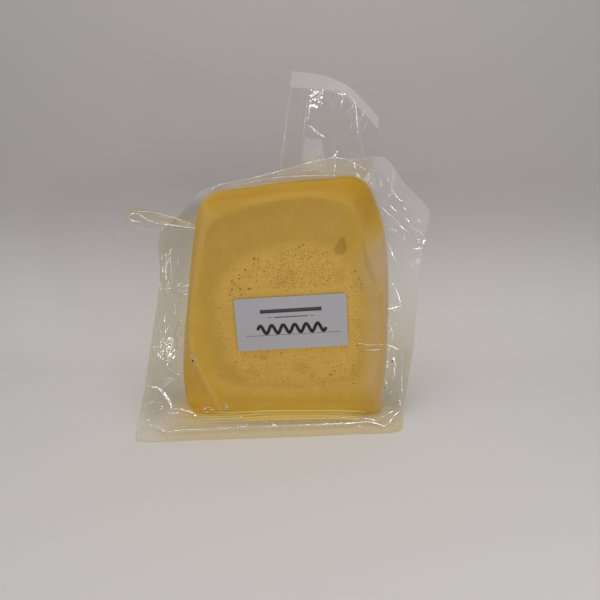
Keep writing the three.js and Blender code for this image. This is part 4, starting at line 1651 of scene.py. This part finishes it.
def build_tubes(name, paths, width, material):
    """Tubes of that width along paths of points in mm, each path given with its width factor."""
    curve = bpy.data.curves.new("crease_paths", "CURVE")
    curve.dimensions = "3D"
    for laid, factor in paths:
        spline = curve.splines.new("POLY")
        spline.points.add(len(laid) - 1)
        for k, (point, at) in enumerate(zip(spline.points, laid)):
            share = k / (len(laid) - 1)
            point.co = (*(at * MM), 1)
            point.radius = factor * taper(share, *TUBE_TAPER)
    values = {"Width": width, "Sides": TUBE_SIDES, "Material": material}
    return run_tree(curve, crease_tree, values, name)


class PACKCHEESE_OT_creases(Operator):
    """Lays a fine ridge along each sharp crease of the film, and the facets in it that glint"""

    bl_idname = "packed_cheese.creases"
    bl_label = "Film creases"

    def execute(self, context):
        settings = context.scene.film
        surface = film_surface()
        draw = random.Random(settings.seed)
        facets, folds, beads = [], [], []
        for pixels, width in CREASES:
            laid, normals = lay_on_film(pixels, surface)
            if len(laid) < 3:
                raise RuntimeError(f"a crease at {pixels[0]} misses the film")
            facets += facets_along(laid, normals, width, draw)
            folds.append((laid, width))
        for pixels, width in GLOW_BEADS:
            laid, normals = lay_on_film(pixels, surface)
            beads.append((laid, width))
        for pixels, width in glint_paths(draw):
            laid, normals = lay_on_film(pixels, surface)
            if len(laid) < 2:
                continue  # a glint beyond the bag's edge
            reach = (laid[-1] - laid[0]).length / 2
            middle = len(laid) // 2
            place, aim, along, _ = facets_along(laid, normals, width, draw)[middle]
            facets.append((place, aim, along, (reach, width * FACET_WIDTH, FACET_DEPTH)))

        # The beads take the full painted glow of the cheese; the creases none.
        for paths, wet, finish in ((folds, 0.0, FOLD_FINISH), (beads, 1.0, BEAD_FINISH)):
            name, material_name, gloss, haze = finish
            material = clear_film(settings, material_name, gloss=gloss, haze=haze, ripple=0.0)
            tubes = build_tubes(name, paths, settings.crease_width, material)
            glow = np.full(len(tubes.data.vertices), wet, np.float32)
            tubes.data.attributes.new("glow", "FLOAT", "POINT").data.foreach_set("value", glow)
            finish_piece(tubes, material)

        places, *vectors = (np.array([row[i] for row in facets]) for i in range(4))
        mesh = bpy.data.meshes.new("facet_points")
        mesh.from_pydata((places * MM).tolist(), [], [])
        for key, values, scale in zip(("aim", "along", "size"), vectors, (1, 1, MM)):
            layer = mesh.attributes.new(key, "FLOAT_VECTOR", "POINT")
            layer.data.foreach_set("vector", (values * scale).astype(np.float32).ravel())
        material = clear_film(
            settings, "facet_film", gloss=settings.facet_gloss, haze=FACET_HAZE, ripple=0.0,
        )
        values = {"Detail": FACET_DETAIL, "Material": material}
        finish_piece(run_tree(mesh, facet_tree, values, "film_glints"), material)
        return {"FINISHED"}


class PACKCHEESE_OT_specks(Operator):
    """Drops the few crumbs of dirt that stick to the film"""

    bl_idname = "packed_cheese.specks"
    bl_label = "Specks of dirt"

    def execute(self, context):
        surface = film_surface()
        around, along = SPECK_AROUND, SPECK_ALONG
        points, faces = [], []
        for px, py, wide, high in SPECKS:
            line = sight_line(px, py)
            hit, _, _, _ = surface.ray_cast(Vector(CAMERA_PLACE), line)
            if hit is None:
                raise RuntimeError(f"the speck at {px}, {py} misses the film")
            turn = np.linspace(0, 2 * math.pi, around, endpoint=False)
            rise = np.linspace(-math.pi / 2, math.pi / 2, along)[1:-1, None]
            x = wide * np.cos(rise) * np.cos(turn) * (1 + 0.25 * np.sin(3 * turn))
            y = SPECK_DEPTH * np.cos(rise) * np.sin(turn)
            z = high * np.sin(rise) * np.ones_like(turn)
            body = np.stack([x, y, z], -1).reshape(-1, 3)
            body = np.vstack([body, [[0, 0, -high], [0, 0, high]]]) + np.array(hit)
            start = sum(len(p) for p in points)
            rows = along - 2
            quads = strip_quads(rows, around, True) + start
            faces += quads.tolist()
            foot, top = start + rows * around, start + rows * around + 1
            last = start + (rows - 1) * around
            for k in range(around):
                after = (k + 1) % around
                faces.append([foot, start + after, start + k])
                faces.append([top, last + k, last + after])
            points.append(body)
        piece = make_object("film_specks", np.vstack(points), faces)
        finish_piece(piece, ink("dark_crumb", hex_linear("#3a3128"), 0.9), None)
        return {"FINISHED"}


# ---- The label ---------------------------------------------------------------------------------


# The label's plain marks: x from and to, y and width in mm from its middle, and points along.
LABEL_RULES = (
    (-16.5, 16.5, 7.2, 2.1, 12), (-9, 9, 3.6, 0.5, 12), (-12.5, -10.5, 3.6, 0.3, 3),
    (10.5, 12.5, 3.6, 0.3, 3), (-25, 26, -6.6, 0.22, 40),
)
# The wavy marker stroke: half-length, level, swing, length of a wave and width in mm.
STROKE_REACH = 18.5
STROKE_LEVEL = -3.2
STROKE_SWING = 2.3
STROKE_WAVE = 6.2
STROKE_WIDTH = 1.7
STROKE_POINTS = 260


def label_place(flat):
    """Points drawn on the label, x right and y up from its middle, put on its front face."""
    low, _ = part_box("label")
    turn, (cx, cz) = LABEL_TILT, LABEL_CENTRE
    x = cx + flat[:, 0] * math.cos(turn) - flat[:, 1] * math.sin(turn)
    z = cz + flat[:, 0] * math.sin(turn) + flat[:, 1] * math.cos(turn)
    return np.stack([x, low.y / MM - flat[:, 2], z], -1)


def raised_stroke(path, width, height):
    """A flat ribbon of that width along a 2-D path, standing height off the paper."""
    path = np.asarray(path, float)
    along = np.gradient(path, axis=0)
    along /= np.linalg.norm(along, axis=1, keepdims=True)
    side = np.stack([-along[:, 1], along[:, 0]], -1) * np.reshape(width, (-1, 1)) / 2
    count = len(path)
    rows = []
    for edge, top in ((-1, 0.0), (-1, height), (1, height), (1, 0.0)):
        rows.append(np.hstack([path + side * edge, np.full((count, 1), top)]))
    points = np.vstack(rows)
    faces = []
    for k in range(4):
        here, after = k * count, (k + 1) % 4 * count
        for i in range(count - 1):
            faces.append([here + i, here + i + 1, after + i + 1, after + i])
    faces.append([k * count for k in range(4)][::-1])
    faces.append([k * count + count - 1 for k in range(4)])
    return points, [face[::-1] for face in faces]


def joined(strokes):
    """Several strokes as one mesh: its points and faces."""
    points, faces = [], []
    for stroke_points, stroke_faces in strokes:
        start = sum(len(p) for p in points)
        points.append(stroke_points)
        faces += [[start + i for i in face] for face in stroke_faces]
    return np.vstack(points), faces


class PACKCHEESE_OT_label(Operator):
    """Finishes the paper label and lays plain, wordless marks on it"""

    bl_idname = "packed_cheese.label"
    bl_label = "Label"

    def execute(self, context):
        settings = context.scene.label
        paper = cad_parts["label"]
        for slot in paper.material_slots:
            slot.material = coated_paper(settings)
        height = settings.print_height / MM
        rules = []
        for start, end, y, width, count in LABEL_RULES:
            path = np.stack([np.linspace(start, end, count), np.full(count, y)], -1)
            rules.append(raised_stroke(path, width, height))
        points, faces = joined(rules)
        printed = make_object("label_print", label_place(points), faces)
        finish_piece(printed, ink("offset_grey_ink", settings.grey_ink, 0.6), None)

        x = np.linspace(-STROKE_REACH, STROKE_REACH, STROKE_POINTS)
        swing = STROKE_SWING * np.sin(2 * np.pi * (x + STROKE_REACH) / STROKE_WAVE)
        path = np.stack([x, STROKE_LEVEL + swing], -1)
        points, faces = raised_stroke(path, STROKE_WIDTH, height * 1.5)
        stroke = make_object("label_marker_stroke", label_place(points), faces)
        finish_piece(stroke, ink("felt_marker_ink", settings.black_ink, 0.5), None)
        return {"FINISHED"}


# ---- Stage -------------------------------------------------------------------------------------


# The sweep, in metres: how far it runs to the front, the back and up, and to each side.
SWEEP_REACH = 1.2
SWEEP_SIDE = 1.5
SWEEP_DROP = 0.0001  # how far it lies below the pack
SHADE_RISE = 0.10  # height over which the floor's colour turns to the wall's, painted shade for its lesser light
# Place, what it faces and size of the lights besides the soft boxes.
PACK_MIDDLE = (0, 0, 0.06)
OVERHEAD = ((0, -0.10, 0.60), (0, -0.04, 0), (0.5, 0.3))
FRONT_FILL = ((0, -0.50, 0.12), PACK_MIDDLE, (0.5, 0.2))


def add_area_light(name, place, target, size, power):
    """A rectangular light at place, facing target, in metres and watts."""
    lamp = bpy.data.lights.new(name, "AREA")
    lamp.shape = "RECTANGLE"
    lamp.size, lamp.size_y = size
    lamp.energy = power
    thing = bpy.data.objects.new(name, lamp)
    bpy.context.scene.collection.objects.link(thing)
    thing.location = place
    thing.rotation_euler = (Vector(target) - Vector(place)).to_track_quat("-Z", "Y").to_euler()
    return thing


class PACKCHEESE_OT_stage(Operator):
    """Builds the pale sweep, the lights and the camera"""

    bl_idname = "packed_cheese.stage"
    bl_label = "Stage"

    def execute(self, context):
        settings = context.scene.stage
        start, radius = settings.sweep_start, settings.sweep_radius
        angles = np.linspace(0, math.pi / 2, 40)
        # Floor in front, curve and wall, then the floor that runs on behind them.
        profile = [(-SWEEP_REACH, 0.0)]
        profile += [(start + radius * math.sin(a), radius * (1 - math.cos(a))) for a in angles]
        profile += [(start + radius, SWEEP_REACH), (start, 0.0), (SWEEP_REACH, 0.0)]
        sides = (-SWEEP_SIDE, SWEEP_SIDE)
        grid = np.array([[(x, y, z - SWEEP_DROP) for x in sides] for y, z in profile]) / MM
        quads = strip_quads(len(profile), 2, False)
        quads = np.delete(quads, len(profile) - 3, axis=0)  # from the wall's top to the floor
        sweep = make_object("sweep", grid.reshape(-1, 3), quads.tolist())
        material, tree, place = new_material("matt_card")
        # Painted shade: the card greys as it rises from floor to wall.
        height = add_node(
            tree, "ShaderNodeMapRange", {"interpolation_type": "SMOOTHSTEP"},
            Value=add_node(tree, "ShaderNodeSeparateXYZ", Vector=place).outputs["Z"],
            From__Min=0.0, From__Max=SHADE_RISE, To__Min=0.0, To__Max=1.0,
        )
        tone = add_node(
            tree, "ShaderNodeMix", {"data_type": "RGBA"}, Factor_Float=height.outputs["Result"],
            A_Color=settings.floor, B_Color=settings.wall,
        )
        card = add_node(
            tree, "ShaderNodeBsdfPrincipled", Base__Color=output_of(tone, "Result_Color"),
            Roughness=0.8, Specular__IOR__Level=0.2,
        )
        # The card is drawn from its lit side alone, so that the pack's back can be looked at.
        side = add_node(tree, "ShaderNodeNewGeometry").outputs["Backfacing"]
        open_back = add_node(
            tree, "ShaderNodeMixShader", Fac=side, Shader=card.outputs["BSDF"],
            Shader_001=add_node(tree, "ShaderNodeBsdfTransparent").outputs[0],
        )
        add_node(tree, "ShaderNodeOutputMaterial", Surface=open_back.outputs[0])
        sweep.data.materials.append(material)

        add_area_light("overhead", *OVERHEAD, settings.key_power)
        for name, side, power in (
            ("left_box", -1, settings.left_power), ("right_box", 1, settings.right_power),
        ):
            place = (BOX_PLACE[0] * side, BOX_PLACE[1], BOX_PLACE[2])
            add_area_light(name, place, PACK_MIDDLE, BOX_SIZE, power)
        add_area_light("front_fill", *FRONT_FILL, settings.fill_power)

        world = bpy.data.worlds.new("soft_room")
        world.use_nodes = True
        background = world.node_tree.nodes["Background"]
        background.inputs["Color"].default_value = settings.room
        background.inputs["Strength"].default_value = settings.ambient
        context.scene.world = world

        camera = bpy.data.cameras.new("photo_camera")
        camera.lens, camera.sensor_width, camera.sensor_fit = LENS, SENSOR, "AUTO"
        camera.clip_start = 0.01
        eye = bpy.data.objects.new("photo_camera", camera)
        context.scene.collection.objects.link(eye)
        eye.location = Vector(CAMERA_PLACE) * MM
        eye.rotation_euler = (math.pi / 2 - CAMERA_DOWN, 0, 0)
        context.scene.camera = eye
        context.scene.view_settings.view_transform = "Standard"
        context.scene.cycles.transparent_max_bounces = 32
        return {"FINISHED"}


# ---- The panel and the run ---------------------------------------------------------------------

OPERATORS = (
    PACKCHEESE_OT_stage,
    PACKCHEESE_OT_slab,
    PACKCHEESE_OT_skin,
    PACKCHEESE_OT_margin,
    PACKCHEESE_OT_tail,
    PACKCHEESE_OT_ear,
    PACKCHEESE_OT_creases,
    PACKCHEESE_OT_specks,
    PACKCHEESE_OT_label,
)
SETTINGS = (
    ("cheese", CheeseSettings),
    ("film", FilmSettings),
    ("label", LabelSettings),
    ("stage", StageSettings),
)


class PACKCHEESE_PT_panel(Panel):
    """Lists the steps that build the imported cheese"""

    bl_label = "Packed cheese"
    bl_idname = "PACKCHEESE_PT_panel"
    bl_space_type = "VIEW_3D"
    bl_region_type = "UI"
    bl_category = "Packed cheese"

    def draw(self, context):
        for operator in OPERATORS:
            self.layout.operator(operator.bl_idname)
        for key, group in SETTINGS:
            box = self.layout.box()
            for name in group.__annotations__:
                box.prop(getattr(context.scene, key), name)


def register():
    for key, group in SETTINGS:
        bpy.utils.register_class(group)
        setattr(bpy.types.Scene, key, PointerProperty(type=group))
    for operator in OPERATORS:
        bpy.utils.register_class(operator)
    bpy.utils.register_class(PACKCHEESE_PT_panel)


def unregister():
    bpy.utils.unregister_class(PACKCHEESE_PT_panel)
    for operator in reversed(OPERATORS):
        bpy.utils.unregister_class(operator)
    for key, group in reversed(SETTINGS):
        delattr(bpy.types.Scene, key)
        bpy.utils.unregister_class(group)


def main():
    register()
    for operator in OPERATORS:
        group, name = operator.bl_idname.split(".")
        getattr(getattr(bpy.ops, group), name)()


if __name__ == "__main__":
    main()
